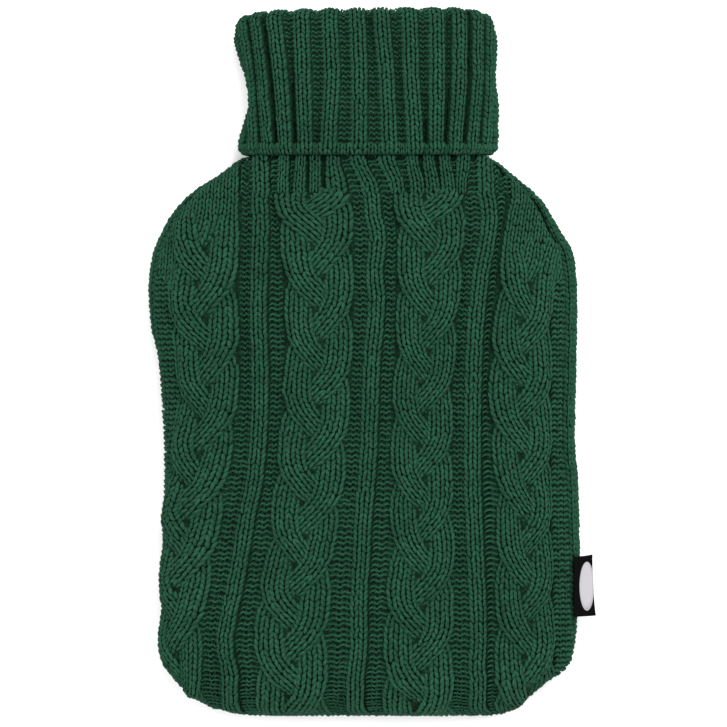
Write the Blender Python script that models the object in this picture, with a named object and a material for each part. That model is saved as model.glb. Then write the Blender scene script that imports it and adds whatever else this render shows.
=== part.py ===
"""A knitted cover for a hot water bottle, lying on its back.

Four pieces: a cable-knit front, a plain back, a ribbed roll neck turned down into a
cuff, and a small woven tab in the side seam. The cover is hollow and open at the neck.
It keeps the shape of the bottle that fills it, and the bottle isn't modelled.

X runs across the cover, Y from its bottom edge to its neck, and Z up from the surface
that it lies on. The origin is on the resting face, under the middle of the body.
All sizes are in metres.
"""

from collections import namedtuple
from functools import lru_cache
from math import asin, copysign, cos, pi, radians, sin

import bmesh
import bpy
import numpy as np
from mathutils import Matrix, Vector

CLOTH = 0.0030            # thickness of the knitted panels
SEAM_GAP = 0.0003         # clearance between neighbouring pieces
GROUND_INSET = 0.0004     # the purl ground lies this far inside the outline

BOTTOM = -0.1363          # bottom edge of the body
NECK_TOP = 0.1500         # top edge of the two panels, inside the collar
END_ROUND = 0.028         # length over which the bottom end rounds off
END_POWER = 2.4           # 2 is an ellipse, more is squarer
FRONT_POWER = 2.25        # fullness of a section above its widest line
BACK_POWER = 3.2          # fullness of a section below its widest line
BACK_SAG = 0.0012         # how far the filled back is pressed flat by the surface

RIB_HALF = 0.0043         # half the width of a rib of two wales
RIB_RISE = 0.0020         # ribs above the purl ground
RIB_SIDE = 0.25           # share of a rib's width that each of its sides takes
YOKE_RISE = 0.0012        # yoke ribs above their grooves
YOKE_FOOT = -0.25         # a yoke rib's side starts here, 0 being its edge and 1 its middle
YOKE_BROW = 0.35          # and reaches its full height here
PLAIN_RISE = 0.0010       # plain knitting above the purl ground
STRAND_MID = 0.0034       # mean height of a cable's strands above the purl ground
STRAND_LIFT = 0.0016      # a strand rises and dips by this at the crossings
STRAND_SWING = 0.31       # sideways travel of a strand, as a share of the cable's width
STRAND_HALF = 0.21        # half the width of a strand, as a share of the cable's width
CROSSING_LAG = radians(25)  # a strand passes under the next one this far past the middle
LEFT_CABLE_SHARE = 0.69   # of the space from the first rib to the left seam
RIGHT_CABLE_SHARE = 0.70  # of the space from the last rib to the right seam
HEM_FADE = 0.006          # the relief dies away over this length at the bottom edge

CUFF_TOP = 0.2072         # top of the fold
CUFF_MIDDLE = 0.1727      # half way down the cuff, where the ribs' places are given again
CUFF_HEM = 0.1355         # lower edge of the turned-down cuff
WELT = 0.0050             # depth of the plain welt at the hem
WELT_FACE = (0.8, 0.15)   # its flat face, as shares of its depth
HEM_TURN = (0.3, 0.8)     # steps of the rounded hem, as shares of the cuff's thickness
CUFF_CLOTH = 0.0040       # thickness of the cuff, with its ribs
CUFF_RIB_RISE = 0.0014    # cuff ribs above their grooves
CUFF_RIB = 0.0072         # width of a cuff rib
RIB_SHARE = 0.34          # of the space to the next rib, where they are crowded
TUBE_CLOTH = 0.0034       # thickness of the inner tube of the collar
TUBE_GAP = 0.0006         # space between the cuff and the inner tube
BACK_RIBS = 12            # cuff ribs round the back
TUBE_FACE = CUFF_CLOTH + TUBE_GAP       # insets of the inner tube's two sides
TUBE_INSIDE = TUBE_FACE + TUBE_CLOTH
FOLD = TUBE_INSIDE / 2    # radius of the fold
SHOULDER = CUFF_TOP - FOLD              # the fold starts here
TUBE_END = NECK_TOP + SEAM_GAP          # lower edge of the inner tube

TAB_LENGTH = 0.0290       # along the seam
TAB_REACH = 0.0095        # out from the seam
TAB_CLOTH = 0.0011        # two layers of woven tape
TAB_BEVEL = 0.3           # of that thickness, on its edges
TAB_MIDDLE = -0.0727      # place of the tab along the cover
TAB_TURN = radians(4.0)   # it was sewn in slightly askew
TAB_DROOP = radians(14.0)
TAB_CLEAR = 0.0008        # the tab's root lies this far out of the seam and above it

SAME_PLACE = 0.00001      # corners nearer than this are one corner
NORMAL_STEP = 0.0004      # a surface's direction is worked out over this length
SHARP = radians(50)       # edges that bend more than this stay crisp

# Silhouette of the body, seen from above: rows from the bottom edge to the neck.
Edge = namedtuple("Edge", "along left right")
BODY_EDGES = (
    Edge(-0.1363, -0.0553, 0.0611),
    Edge(-0.1343, -0.0620, 0.0674),
    Edge(-0.1300, -0.0770, 0.0766),
    Edge(-0.1222, -0.0888, 0.0850),
    Edge(-0.1145, -0.0960, 0.0965),
    Edge(-0.1086, -0.0989, 0.1009),
    Edge(-0.0989, -0.0999, 0.1028),
    Edge(-0.0795, -0.0994, 0.1043),
    Edge(-0.0601, -0.0994, 0.1050),
    Edge(-0.0407, -0.0985, 0.1048),
    Edge(-0.0213, -0.0970, 0.1043),
    Edge(-0.0019, -0.0977, 0.1028),
    Edge(0.0369, -0.0999, 0.1035),
    Edge(0.0524, -0.1033, 0.1038),
    Edge(0.0708, -0.1048, 0.1038),
    Edge(0.0834, -0.1038, 0.1028),
    Edge(0.0912, -0.1019, 0.1009),
    Edge(0.0989, -0.0985, 0.0960),
    Edge(0.1067, -0.0941, 0.0917),
    Edge(0.1145, -0.0878, 0.0863),
    Edge(0.1203, -0.0808, 0.0803),
    Edge(0.1261, -0.0713, 0.0732),
    Edge(0.1300, -0.0650, 0.0684),
    Edge(0.1336, -0.0604, 0.0637),
    Edge(0.1354, -0.0549, 0.0574),
    Edge(0.1400, -0.0545, 0.0577),
    Edge(0.1500, -0.0543, 0.0585),
)

# Heights of the body: underside, widest line and crown.
Level = namedtuple("Level", "along low rim top")
BODY_LEVELS = (
    Level(-0.1363, 0.0, 0.0150, 0.0440),
    Level(-0.1000, 0.0, 0.0165, 0.0458),
    Level(0.0600, 0.0, 0.0170, 0.0460),
    Level(0.0950, 0.0, 0.0175, 0.0440),
    Level(0.1180, 0.0, 0.0180, 0.0400),
    Level(0.1280, 0.0014, 0.0186, 0.0378),
    Level(0.1336, 0.0036, 0.0190, 0.0362),
    Level(0.1354, 0.0052, 0.0192, 0.0345),
    Level(0.1400, 0.0052, 0.0194, 0.0348),
    Level(0.1500, 0.0052, 0.0192, 0.0352),
)

# Lines that run along the front: the ribs as places across the cover, and the seams as
# lengths of cloth past its widest line, towards the back.
Line = namedtuple("Line", "along seam_left rib_a rib_b rib_c seam_right")
FRONT_LINES = (
    Line(-0.1363, 0.0000, -0.0415, -0.0044, 0.0440, 0.0000),
    Line(-0.1343, 0.0000, -0.0480, -0.0044, 0.0485, 0.0000),
    Line(-0.1300, 0.0005, -0.0580, -0.0044, 0.0515, 0.0000),
    Line(-0.1222, 0.0015, -0.0640, -0.0043, 0.0528, 0.0000),
    Line(-0.1150, 0.0040, -0.0645, -0.0042, 0.0531, 0.0000),
    Line(-0.0989, 0.0140, -0.0655, -0.0030, 0.0546, -0.0015),
    Line(-0.0795, 0.0170, -0.0631, -0.0026, 0.0543, -0.0070),
    Line(-0.0601, 0.0160, -0.0597, -0.0015, 0.0534, -0.0090),
    Line(-0.0407, 0.0140, -0.0567, -0.0010, 0.0526, -0.0107),
    Line(-0.0213, 0.0100, -0.0525, 0.0010, 0.0519, -0.0107),
    Line(0.0078, 0.0020, -0.0502, 0.0027, 0.0519, -0.0107),
    Line(0.0369, -0.0010, -0.0498, 0.0042, 0.0524, -0.0105),
    Line(0.0563, -0.0015, -0.0507, 0.0044, 0.0535, -0.0094),
    Line(0.0757, -0.0020, -0.0502, 0.0052, 0.0556, -0.0094),
    Line(0.0951, -0.0015, -0.0497, 0.0076, 0.0590, -0.0105),
    Line(0.1048, 0.0000, -0.0495, 0.0036, 0.0601, -0.0080),
    Line(0.1180, 0.0000, -0.0497, 0.0008, 0.0580, -0.0040),
    Line(0.1339, 0.0000, -0.0420, -0.0029, 0.0470, 0.0000),
    Line(0.1500, 0.0000, -0.0380, -0.0029, 0.0430, 0.0000),
)

# Grooves of purl between a rib and the cables beside it.
Groove = namedtuple("Groove", "rib left right")
GROOVES = (
    Groove("rib_a", 0.0072, 0.0070),
    Groove("rib_b", 0.0076, 0.0076),
    Groove("rib_c", 0.0063, 0.0048),
)

# Where a strand from the left ends at its crossing, the length from one such crossing to
# the next, and where the cable grows out of the plain knitting.
Cable = namedtuple("Cable", "crossing lay starts full")
CABLES = (
    Cable(0.0732, 0.0325, 0.1050, 0.0970),
    Cable(0.0917, 0.0307, 0.1170, 0.1120),
    Cable(0.0873, 0.0307, 0.1170, 0.1120),
    Cable(0.0553, 0.0322, 0.0890, 0.0800),
)

YOKE_LOW, YOKE_HIGH = 0.1165, 0.1345
YOKE_GROWS, YOKE_ENDS = 0.0020, 0.0010   # lengths over which its relief comes and goes
YokeRib = namedtuple("YokeRib", "centre width")
YOKE_RIBS = (
    YokeRib(-0.0500, 0.0087), YokeRib(-0.0381, 0.0053), YokeRib(-0.0298, 0.0044),
    YokeRib(-0.0238, 0.0048), YokeRib(-0.0148, 0.0063), YokeRib(-0.0032, 0.0082),
    YokeRib(0.0107, 0.0097), YokeRib(0.0230, 0.0063), YokeRib(0.0310, 0.0058),
    YokeRib(0.0388, 0.0058), YokeRib(0.0480, 0.0068), YokeRib(0.0582, 0.0080),
)

# Cells across the front's face, strip by strip from seam to seam.
Strip = namedtuple("Strip", "kind cells")
STRIPS = (
    Strip("ground", 3), Strip("cable", 9), Strip("ground", 1), Strip("rib", 3),
    Strip("ground", 1), Strip("cable", 9), Strip("ground", 1), Strip("rib", 3),
    Strip("ground", 1), Strip("cable", 9), Strip("ground", 1), Strip("rib", 3),
    Strip("ground", 1), Strip("cable", 8), Strip("ground", 3),
)

# Cells along the panels, in runs from the rounded end to the neck. The front has a whole
# number of cells to each of the back's, so that their seams follow the same straight runs.
Run = namedtuple("Run", "until front back lining")
ROUND_CELLS = Run(BOTTOM + END_ROUND, 7, 7, 4)
RUNS = (
    Run(0.1080, 51, 17, 8),
    Run(0.1300, 5, 5, 3),
    Run(0.1354, 2, 2, 2),
    Run(NECK_TOP, 2, 2, 1),
)
BACK_CELLS = 28           # across the back
LINING_CELLS = 14         # across the hidden side of either panel
TUBE_CELLS = 3            # up either side of the collar's inner tube
FOLD_CELLS = 6            # over its fold
CUFF_CELLS = 7            # down its face to the welt

# Silhouette and heights of the cuff, from its hem up to the fold.
CUFF_EDGES = (
    Edge(0.1355, -0.0597, 0.0619),
    Edge(0.1385, -0.0606, 0.0632),
    Edge(0.1410, -0.0613, 0.0644),
    Edge(0.1494, -0.0596, 0.0645),
    Edge(0.1610, -0.0570, 0.0650),
    Edge(0.1727, -0.0582, 0.0637),
    Edge(0.1870, -0.0624, 0.0645),
    Edge(0.1945, -0.0635, 0.0643),
    Edge(0.2000, -0.0628, 0.0632),
    Edge(0.2072, -0.0610, 0.0600),
)
CUFF_LEVELS = (
    Level(0.1355, 0.0, 0.0195, 0.0402),
    Level(0.1600, 0.0, 0.0190, 0.0404),
    Level(0.1900, 0.0, 0.0185, 0.0390),
    Level(0.2072, 0.0, 0.0180, 0.0370),
)

# Middles of the cuff's front ribs at its hem, half way up and at the fold.
CuffRib = namedtuple("CuffRib", "hem middle fold")
CUFF_RIBS = (
    CuffRib(-0.0538, -0.0555, -0.0600), CuffRib(-0.0475, -0.0507, -0.0550),
    CuffRib(-0.0378, -0.0407, -0.0444), CuffRib(-0.0289, -0.0296, -0.0308),
    CuffRib(-0.0177, -0.0155, -0.0170), CuffRib(-0.0027, -0.0022, -0.0036),
    CuffRib(0.0124, 0.0109, 0.0080), CuffRib(0.0252, 0.0228, 0.0218),
    CuffRib(0.0352, 0.0354, 0.0352), CuffRib(0.0441, 0.0466, 0.0470),
    CuffRib(0.0531, 0.0565, 0.0563), CuffRib(0.0595, 0.0615, 0.0618),
)

Paint = namedtuple("Paint", "colour roughness")
PAINTS = {
    "front_panel": Paint((0.013, 0.053, 0.029), 0.92),
    "back_panel": Paint((0.013, 0.050, 0.028), 0.92),
    "rib_collar": Paint((0.013, 0.053, 0.029), 0.92),
    "side_label": Paint((0.006, 0.007, 0.006), 0.70),
}


def read(table, column, along):
    """Smooth value of a column between a table's rows."""
    places = [row.along for row in table]
    values = [getattr(row, column) for row in table]
    along = min(max(along, places[0]), places[-1])
    last = len(table) - 1
    i = min(sum(place <= along for place in places) - 1, last - 1)
    span = places[i + 1] - places[i]

    def slope(k):
        before, after = max(k - 1, 0), min(k + 1, last)
        return (values[after] - values[before]) / (places[after] - places[before])

    t = (along - places[i]) / span
    return (values[i] * (1 + 2 * t) * (1 - t) ** 2 + values[i + 1] * t * t * (3 - 2 * t)
            + span * (slope(i) * t * (1 - t) ** 2 - slope(i + 1) * t * t * (1 - t)))


def ease(start, end, value):
    """0 before start, 1 past end, with a soft change between them."""
    t = min(max((value - start) / (end - start), 0.0), 1.0)
    return t * t * (3 - 2 * t)


class Ring:
    """One cross-section: a flattened loop. Turn 0 is its crown, -90 and 90 degrees its sides."""

    # Past a whole loop at both ends, because seams and ribs are measured on from the sides.
    TURNS = np.radians(np.arange(-270.0, 541.0, 1.5))

    def __init__(self, left, right, low, rim, top, floor):
        self.centre, self.half = (left + right) / 2, (right - left) / 2
        self.low, self.rim, self.top, self.floor = low, rim, top, floor
        points = np.array([self.point(turn) for turn in self.TURNS])
        steps = np.hypot(*np.diff(points, axis=0).T)
        self.lengths = np.concatenate(([0.0], np.cumsum(steps)))

    def point(self, turn):
        """X and Z of the loop at a turn."""
        across, up = sin(turn), cos(turn)
        power = FRONT_POWER if up > 0 else BACK_POWER
        x = self.centre + self.half * copysign(abs(across) ** (2 / power), across)
        if up > 0:
            return x, self.rim + (self.top - self.rim) * up ** (2 / power)
        return x, max(self.rim - (self.rim - self.low) * abs(up) ** (2 / power), self.floor)

    def turn_at(self, x):
        """Turn of the upper side at a place across."""
        share = min(max((x - self.centre) / self.half, -1.0), 1.0)
        return asin(copysign(abs(share) ** (FRONT_POWER / 2), share))

    def length_at(self, turn):
        """Length of cloth from the start of the loop to a turn."""
        return float(np.interp(turn, self.TURNS, self.lengths))

    def turn_past(self, turn, length):
        """The turn that lies a length of cloth past another."""
        return float(np.interp(self.length_at(turn) + length, self.lengths, self.TURNS))


@lru_cache(maxsize=None)
def body_ring(along, inset):
    """Cross-section of the body, pushed in by an inset on all sides."""
    start = BOTTOM + inset
    t = min(max((along - start) / (END_ROUND - inset), 0.0), 1.0)
    full = (1 - (1 - t) ** END_POWER) ** (1 / END_POWER)
    low, rim, top = (max(read(BODY_LEVELS, name, along), 0.0) for name in ("low", "rim", "top"))
    side = inset + GROUND_INSET
    return Ring(
        read(BODY_EDGES, "left", along) + side,
        read(BODY_EDGES, "right", along) - side,
        rim - full * (rim - low + BACK_SAG - inset),
        rim,
        rim + full * (top - rim - side),
        low + inset,
    )


def panel_rows(counts, inset):
    """Places along the cover of a panel's rows, closer together at the rounded end."""
    start = BOTTOM + inset
    reach = ROUND_CELLS.until - start
    cells = getattr(ROUND_CELLS, counts)
    rows = [start + reach * (1 - cos(pi / 2 * i / cells)) for i in range(cells + 1)]
    for run in RUNS:
        cells = getattr(run, counts)
        rows += list(np.linspace(rows[-1], run.until, cells + 1)[1:])
    return rows


def seam_turns(along):
    """Turns of the left and right seams at a row."""
    ring = body_ring(along, 0.0)
    left = ring.turn_past(-pi / 2, -read(FRONT_LINES, "seam_left", along))
    right = ring.turn_past(pi / 2, read(FRONT_LINES, "seam_right", along))
    return left, right


def strip_lengths(along):
    """Edges of the front's strips at a row, as lengths of cloth round the loop."""
    ring = body_ring(along, 0.0)
    left, right = (ring.length_at(turn) for turn in seam_turns(along))
    edges = []
    for groove in GROOVES:
        middle = ring.length_at(ring.turn_at(read(FRONT_LINES, groove.rib, along)))
        edges += [middle - RIB_HALF - groove.left, middle - RIB_HALF,
                  middle + RIB_HALF, middle + RIB_HALF + groove.right]
    first = edges[0] + LEFT_CABLE_SHARE * (left - edges[0])
    last = edges[-1] + RIGHT_CABLE_SHARE * (right - edges[-1])
    return [left, first] + edges + [last, right]


def plait(cable, share, along):
    """Height of a three-strand plait at a share of its width and a place along it."""
    height = 0.0
    for strand in range(3):
        turn = 2 * pi * ((cable.crossing - along) / (3 * cable.lay) + strand / 3) + CROSSING_LAG
        middle = 0.5 + STRAND_SWING * sin(turn)
        off = (share - middle) / STRAND_HALF
        if abs(off) < 1:
            crest = STRAND_MID - STRAND_LIFT * sin(2 * turn)
            height = max(height, crest * (1 - off * off))
    return height


def yoke(x):
    """Share of the full height of the yoke's ribs at a place across."""
    near = max(1 - abs(x - rib.centre) / (rib.width / 2) for rib in YOKE_RIBS)
    return ease(YOKE_FOOT, YOKE_BROW, near)


def front_relief(strip, number, share, along, x):
    """Height of the front's pattern above the purl ground."""
    if strip == "rib":
        body = RIB_RISE * ease(0.0, RIB_SIDE, min(share, 1 - share))
    elif strip == "cable":
        cable = CABLES[number]
        grown = 1 - ease(cable.full, cable.starts, along)
        body = grown * plait(cable, share, along) + (1 - grown) * PLAIN_RISE
    else:
        body = 0.0
    in_yoke = ease(YOKE_LOW - YOKE_GROWS, YOKE_LOW, along)
    height = body * (1 - in_yoke) + YOKE_RISE * yoke(x) * in_yoke
    hidden = ease(YOKE_HIGH - YOKE_ENDS, YOKE_HIGH, along)
    return height * (1 - hidden) * ease(BOTTOM, BOTTOM + HEM_FADE, along)


def body_point(along, turn, inset, height=0.0):
    """Point on the body's surface, raised by a height along its outward normal."""
    ring = body_ring(along, inset)
    x, z = ring.point(turn)
    point = Vector((x, along, z))
    if height == 0.0:
        return point
    round_it = [Vector((c[0], 0.0, c[1])) for c in
                (ring.point(ring.turn_past(turn, d)) for d in (-NORMAL_STEP, NORMAL_STEP))]
    before = body_ring(max(along - NORMAL_STEP, BOTTOM + inset), inset).point(turn)
    after = body_ring(along + NORMAL_STEP, inset).point(turn)
    lengthwise = Vector((after[0] - before[0], 2 * NORMAL_STEP, after[1] - before[1]))
    normal = (round_it[1] - round_it[0]).cross(lengthwise).normalized()
    return point + normal * height


def lay_grid(mesh, across, along, place):
    """Add a grid of cells and lay each corner at place(column, row)."""
    made = bmesh.ops.create_grid(mesh, x_segments=across, y_segments=along, size=0.5)
    for corner in made["verts"]:
        column = round((corner.co.x + 0.5) * across)
        row = round((corner.co.y + 0.5) * along)
        corner.co = place(column, row)
    return made["verts"]


def front_face(column_stops, rows):
    """Place of each corner of the front's face, with its relief."""
    lengths = [strip_lengths(along) for along in rows]
    joints = panel_rows("back", 0.0)
    ends = [[body_point(along, seam_turns(along)[side], 0.0) for along in joints]
            for side in (0, 1)]

    def place(column, row):
        along = rows[row]
        if column in (0, len(column_stops) - 1):
            line = ends[0] if column == 0 else ends[1]
            return Vector(float(np.interp(along, joints, axis)) for axis in zip(*line))
        strip, share = column_stops[column]
        low, high = lengths[row][strip], lengths[row][strip + 1]
        ring = body_ring(along, 0.0)
        turn = float(np.interp(low + share * (high - low), ring.lengths, ring.TURNS))
        number = sum(s.kind == "cable" for s in STRIPS[:strip])
        x = ring.point(turn)[0]
        height = front_relief(STRIPS[strip].kind, number, share, along, x)
        return body_point(along, turn, 0.0, height)

    return place


def sheet_side(rows, inset, columns, turns_at):
    """Place of each corner of a plain side of a panel, evenly spaced round the loop."""
    def place(column, row):
        along = rows[row]
        first, last = turns_at(along)
        ring = body_ring(along, inset)
        low, high = ring.length_at(first), ring.length_at(last)
        length = low + (high - low) * column / columns
        return body_point(along, float(np.interp(length, ring.lengths, ring.TURNS)), inset)

    return place


def close_panel(mesh, hidden_side):
    """Turn the hidden side over and join both sides along their edges."""
    turned = set(hidden_side)
    bmesh.ops.reverse_faces(mesh, faces=[f for f in mesh.faces if f.verts[0] in turned])
    rim = [edge for edge in mesh.edges if edge.is_boundary]
    bmesh.ops.bridge_loops(mesh, edges=rim)
    bmesh.ops.triangulate(mesh, faces=[f for f in mesh.faces if len(f.verts) > 3])


def add_piece(name, mesh):
    """Make a finished object of a bmesh, in its own paint."""
    bmesh.ops.recalc_face_normals(mesh, faces=mesh.faces)
    data = bpy.data.meshes.new(name)
    mesh.to_mesh(data)
    mesh.free()
    data.shade_smooth()
    data.set_sharp_from_angle(angle=SHARP)
    paint = PAINTS[name]
    material = bpy.data.materials.new(name)
    material.use_nodes = True
    shader = material.node_tree.nodes["Principled BSDF"]
    shader.inputs["Base Color"].default_value = (*paint.colour, 1.0)
    shader.inputs["Roughness"].default_value = paint.roughness
    shader.inputs["Metallic"].default_value = 0.0
    data.materials.append(material)
    piece = bpy.data.objects.new(name, data)
    bpy.context.collection.objects.link(piece)
    return piece


def make_front():
    """The cable-knit front, with its relief in the face and a plain hidden side."""
    stops = [(0, 0.0)]
    for index, strip in enumerate(STRIPS):
        stops += [(index, i / strip.cells) for i in range(1, strip.cells + 1)]
    mesh = bmesh.new()
    rows = panel_rows("front", 0.0)
    lay_grid(mesh, len(stops) - 1, len(rows) - 1, front_face(stops, rows))
    rows = panel_rows("lining", CLOTH)
    hidden = lay_grid(mesh, LINING_CELLS, len(rows) - 1,
                      sheet_side(rows, CLOTH, LINING_CELLS, seam_turns))
    close_panel(mesh, hidden)
    bmesh.ops.translate(mesh, vec=(0.0, 0.0, SEAM_GAP), verts=mesh.verts)
    return add_piece("front_panel", mesh)


def back_turns(along):
    """Turns of the back panel's edges, a seam's gap from the front's."""
    left, right = seam_turns(along)
    ring = body_ring(along, 0.0)
    return ring.turn_past(right, SEAM_GAP), ring.turn_past(left + 2 * pi, -SEAM_GAP)


def make_back():
    """The plain back, pressed flat where it rests."""
    mesh = bmesh.new()
    rows = panel_rows("back", 0.0)
    lay_grid(mesh, BACK_CELLS, len(rows) - 1, sheet_side(rows, 0.0, BACK_CELLS, back_turns))
    rows = panel_rows("lining", CLOTH)
    hidden = lay_grid(mesh, LINING_CELLS, len(rows) - 1,
                      sheet_side(rows, CLOTH, LINING_CELLS, back_turns))
    close_panel(mesh, hidden)
    return add_piece("back_panel", mesh)


@lru_cache(maxsize=None)
def cuff_ring(along, inset):
    """Cross-section of the turned-down cuff, pushed in by an inset."""
    low, rim, top = (read(CUFF_LEVELS, name, along) for name in ("low", "rim", "top"))
    return Ring(
        read(CUFF_EDGES, "left", along) + inset,
        read(CUFF_EDGES, "right", along) - inset,
        low - BACK_SAG + inset,
        rim,
        top - inset,
        low + inset,
    )


def cuff_stops(along):
    """Turns round the cuff of each rib's two edges and of the groove after it."""
    ring = cuff_ring(along, 0.0)
    middles = []
    for rib in CUFF_RIBS:
        x = float(np.interp(along, (CUFF_HEM, CUFF_MIDDLE, CUFF_TOP), rib))
        middles.append(ring.length_at(ring.turn_at(x)))
    first, last = middles[0], middles[-1]
    loop = ring.length_at(2 * pi) - ring.length_at(0.0)
    pitch = (first + loop - last) / (BACK_RIBS + 1)
    middles += [last + pitch * (i + 1) for i in range(BACK_RIBS)]
    stops = []
    for before, here, after in zip([middles[-1] - loop] + middles, middles,
                                   middles[1:] + [first + loop]):
        half_before = min(CUFF_RIB / 2, RIB_SHARE * (here - before))
        half_after = min(CUFF_RIB / 2, RIB_SHARE * (after - here))
        stops += [(here - half_before, 1.0), (here + half_after, 1.0)]
        stops.append(((here + after) / 2, 0.0))
    return [(float(np.interp(s, ring.lengths, ring.TURNS)), rise) for s, rise in stops]


def collar_profile():
    """Stations of the collar's cloth in one section: place along, inset and rib share.

    They run up the inside of the tube, over the fold, down the cuff's face, round its
    hem and back up between the two layers to the tube's lower edge.
    """
    inside = np.linspace(TUBE_END, SHOULDER, TUBE_CELLS + 1)
    stations = [(along, TUBE_INSIDE, 0.0) for along in inside]
    for i in range(1, FOLD_CELLS):
        turn = pi * i / FOLD_CELLS
        ribbed = ease(pi / 3, pi * 5 / 6, turn)
        stations.append((SHOULDER + FOLD * sin(turn), FOLD * (1 + cos(turn)), ribbed))
    face = np.linspace(SHOULDER, CUFF_HEM + WELT, CUFF_CELLS + 1)
    stations += [(along, 0.0, 1.0) for along in face]
    stations += [(CUFF_HEM + share * WELT, 0.0, 0.0) for share in WELT_FACE]
    stations += [(CUFF_HEM, share * CUFF_CLOTH, 0.0) for share in HEM_TURN]
    stations.append((CUFF_HEM + WELT_FACE[1] * WELT, CUFF_CLOTH, 0.0))
    between = np.linspace(TUBE_END, SHOULDER - TUBE_GAP, TUBE_CELLS + 1)
    stations += [(along, CUFF_CLOTH, 0.0) for along in between]
    stations += [(along, TUBE_FACE, 0.0) for along in reversed(between)]
    return stations


def make_collar():
    """The roll neck: one cloth, folded over and turned down, ribbed on its outside."""
    profile = collar_profile()
    columns = len(cuff_stops(CUFF_TOP))

    def place(column, row):
        along, inset, ribbed = profile[row % len(profile)]
        section = min(along, SHOULDER)
        turn, rise = cuff_stops(section)[column % columns]
        groove = CUFF_RIB_RISE * ribbed * (1 - rise)
        x, z = cuff_ring(section, inset + groove).point(turn)
        return Vector((x, along, z))

    mesh = bmesh.new()
    lay_grid(mesh, columns, len(profile), place)
    bmesh.ops.remove_doubles(mesh, verts=mesh.verts, dist=SAME_PLACE)
    bmesh.ops.triangulate(mesh, faces=mesh.faces)
    return add_piece("rib_collar", mesh)


def make_label():
    """The woven tab: a flat folded tape that leaves the right seam and hangs a little."""
    ring = body_ring(TAB_MIDDLE, 0.0)
    _, seam = seam_turns(TAB_MIDDLE)
    x, z = ring.point(seam)
    mesh = bmesh.new()
    bmesh.ops.create_cube(mesh, size=1.0)
    bmesh.ops.scale(mesh, vec=(TAB_REACH, TAB_LENGTH, TAB_CLOTH), verts=mesh.verts)
    bmesh.ops.bevel(mesh, geom=mesh.edges, offset=TAB_CLOTH * TAB_BEVEL, segments=1,
                    affect="EDGES", profile=0.5, material=-1)
    bmesh.ops.translate(mesh, vec=(TAB_REACH / 2, 0.0, TAB_CLOTH / 2), verts=mesh.verts)
    turned = Matrix.Rotation(TAB_TURN, 4, "Z") @ Matrix.Rotation(TAB_DROOP, 4, "Y")
    bmesh.ops.transform(mesh, matrix=turned, verts=mesh.verts)
    bmesh.ops.translate(mesh, vec=(x + TAB_CLEAR, TAB_MIDDLE, z + TAB_CLEAR), verts=mesh.verts)
    return add_piece("side_label", mesh)


def main():
    for old in list(bpy.data.objects):
        bpy.data.objects.remove(old, do_unlink=True)
    make_front()
    make_back()
    make_collar()
    make_label()


main()
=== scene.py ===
from collections import namedtuple
from math import pi, radians

import bmesh
import bpy
import numpy as np
from mathutils import Matrix, Vector


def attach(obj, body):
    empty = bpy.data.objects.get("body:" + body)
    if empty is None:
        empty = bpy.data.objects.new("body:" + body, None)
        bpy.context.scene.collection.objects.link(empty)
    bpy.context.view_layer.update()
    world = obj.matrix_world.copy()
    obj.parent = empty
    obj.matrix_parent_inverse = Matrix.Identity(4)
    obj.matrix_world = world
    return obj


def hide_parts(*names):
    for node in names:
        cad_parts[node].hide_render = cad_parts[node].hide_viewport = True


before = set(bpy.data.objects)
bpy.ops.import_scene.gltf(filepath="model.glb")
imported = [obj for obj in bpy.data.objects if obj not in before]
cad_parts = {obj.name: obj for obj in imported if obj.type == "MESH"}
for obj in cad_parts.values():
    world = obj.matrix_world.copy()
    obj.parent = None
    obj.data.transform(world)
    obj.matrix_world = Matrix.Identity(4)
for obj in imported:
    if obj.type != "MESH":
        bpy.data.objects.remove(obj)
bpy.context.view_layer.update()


# ---------------------------------------------------------------- front cloth
# The cable-knit front, one piece of knitting that wraps the filled bottle from seam to
# seam. Its stitches follow in the next sections; this thin sheet is the cloth behind them,
# coloured in painted shade, pushed up by the bottle and by the cables that stand on it.

BOTTOM = -0.1353          # bottom edge of the body
NECK_TOP = 0.1500         # top edge of the panels, inside the collar
END_ROUND = 0.028         # length over which the bottom end rounds off
END_LENGTH = 0.046        # length of cloth over that round end
END_POWER = 2.4           # 2 is an ellipse, more is squarer
FRONT_POWER = 2.25        # fullness of a section above its widest line
BACK_POWER = 3.2          # and below it
BACK_SAG = 0.0012         # how far the filled back is pressed flat by the surface
GROUND_INSET = 0.0004     # the purl ground lies this far inside the outline
SEAM_GAP = 0.0003         # the front lies this far above the back

RIB_HALF = 0.0043         # half the width of a rib
RIB_RISE = 0.0020         # a rib stands this high over the purl,
RIB_SLOPE = 0.25          # and rises over this share of its width on either side
PLAIN_RISE = 0.0010       # plain knitting stands this high
STRAND_MID = 0.0034       # a strand's crest is about this high,
STRAND_LIFT = 0.0022      # and this much higher or lower where strands cross
STRAND_CORE = 0.0030      # height of the cloth between the strands,
CORE_SLOPE = (0.10, 0.38)   # which rises between these shares of a cable's width
STRAND_SWING = 0.31       # a strand swings this share of its cable's width to either side,
STRAND_HALF = 0.225       # and this share of it is half its own width
CROSSING_LAG = radians(25)   # how far its swing has gone where it crosses a neighbour
HURRY_LENGTH = 0.0180     # a last swing that hurries does so over this length
LEFT_CABLE_SHARE = 0.69   # of the cloth from the first rib's groove to its widest line,
LEFT_CABLE_LESS = 0.05    # and this much less of it in the upper half,
LEFT_CABLE_BAND = (-0.0500, 0.0300)      # changing between these places
GROOVE_DEPTH = 0.0010     # the purl on either side of a rib is drawn in this deep,
GROOVE_DEEPER = 0.0014    # and this much deeper in the upper half,
GROOVE_BAND = (-0.0400, 0.0600)          # changing between these places
GROOVE_UNDER = 0.0007     # the cloth behind it lies this much deeper still
SIDE_RISE = 0.0010        # the purl along the seams stands this high,
SIDE_SLOPE = 0.2          # and rises over this share of its strip
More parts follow.
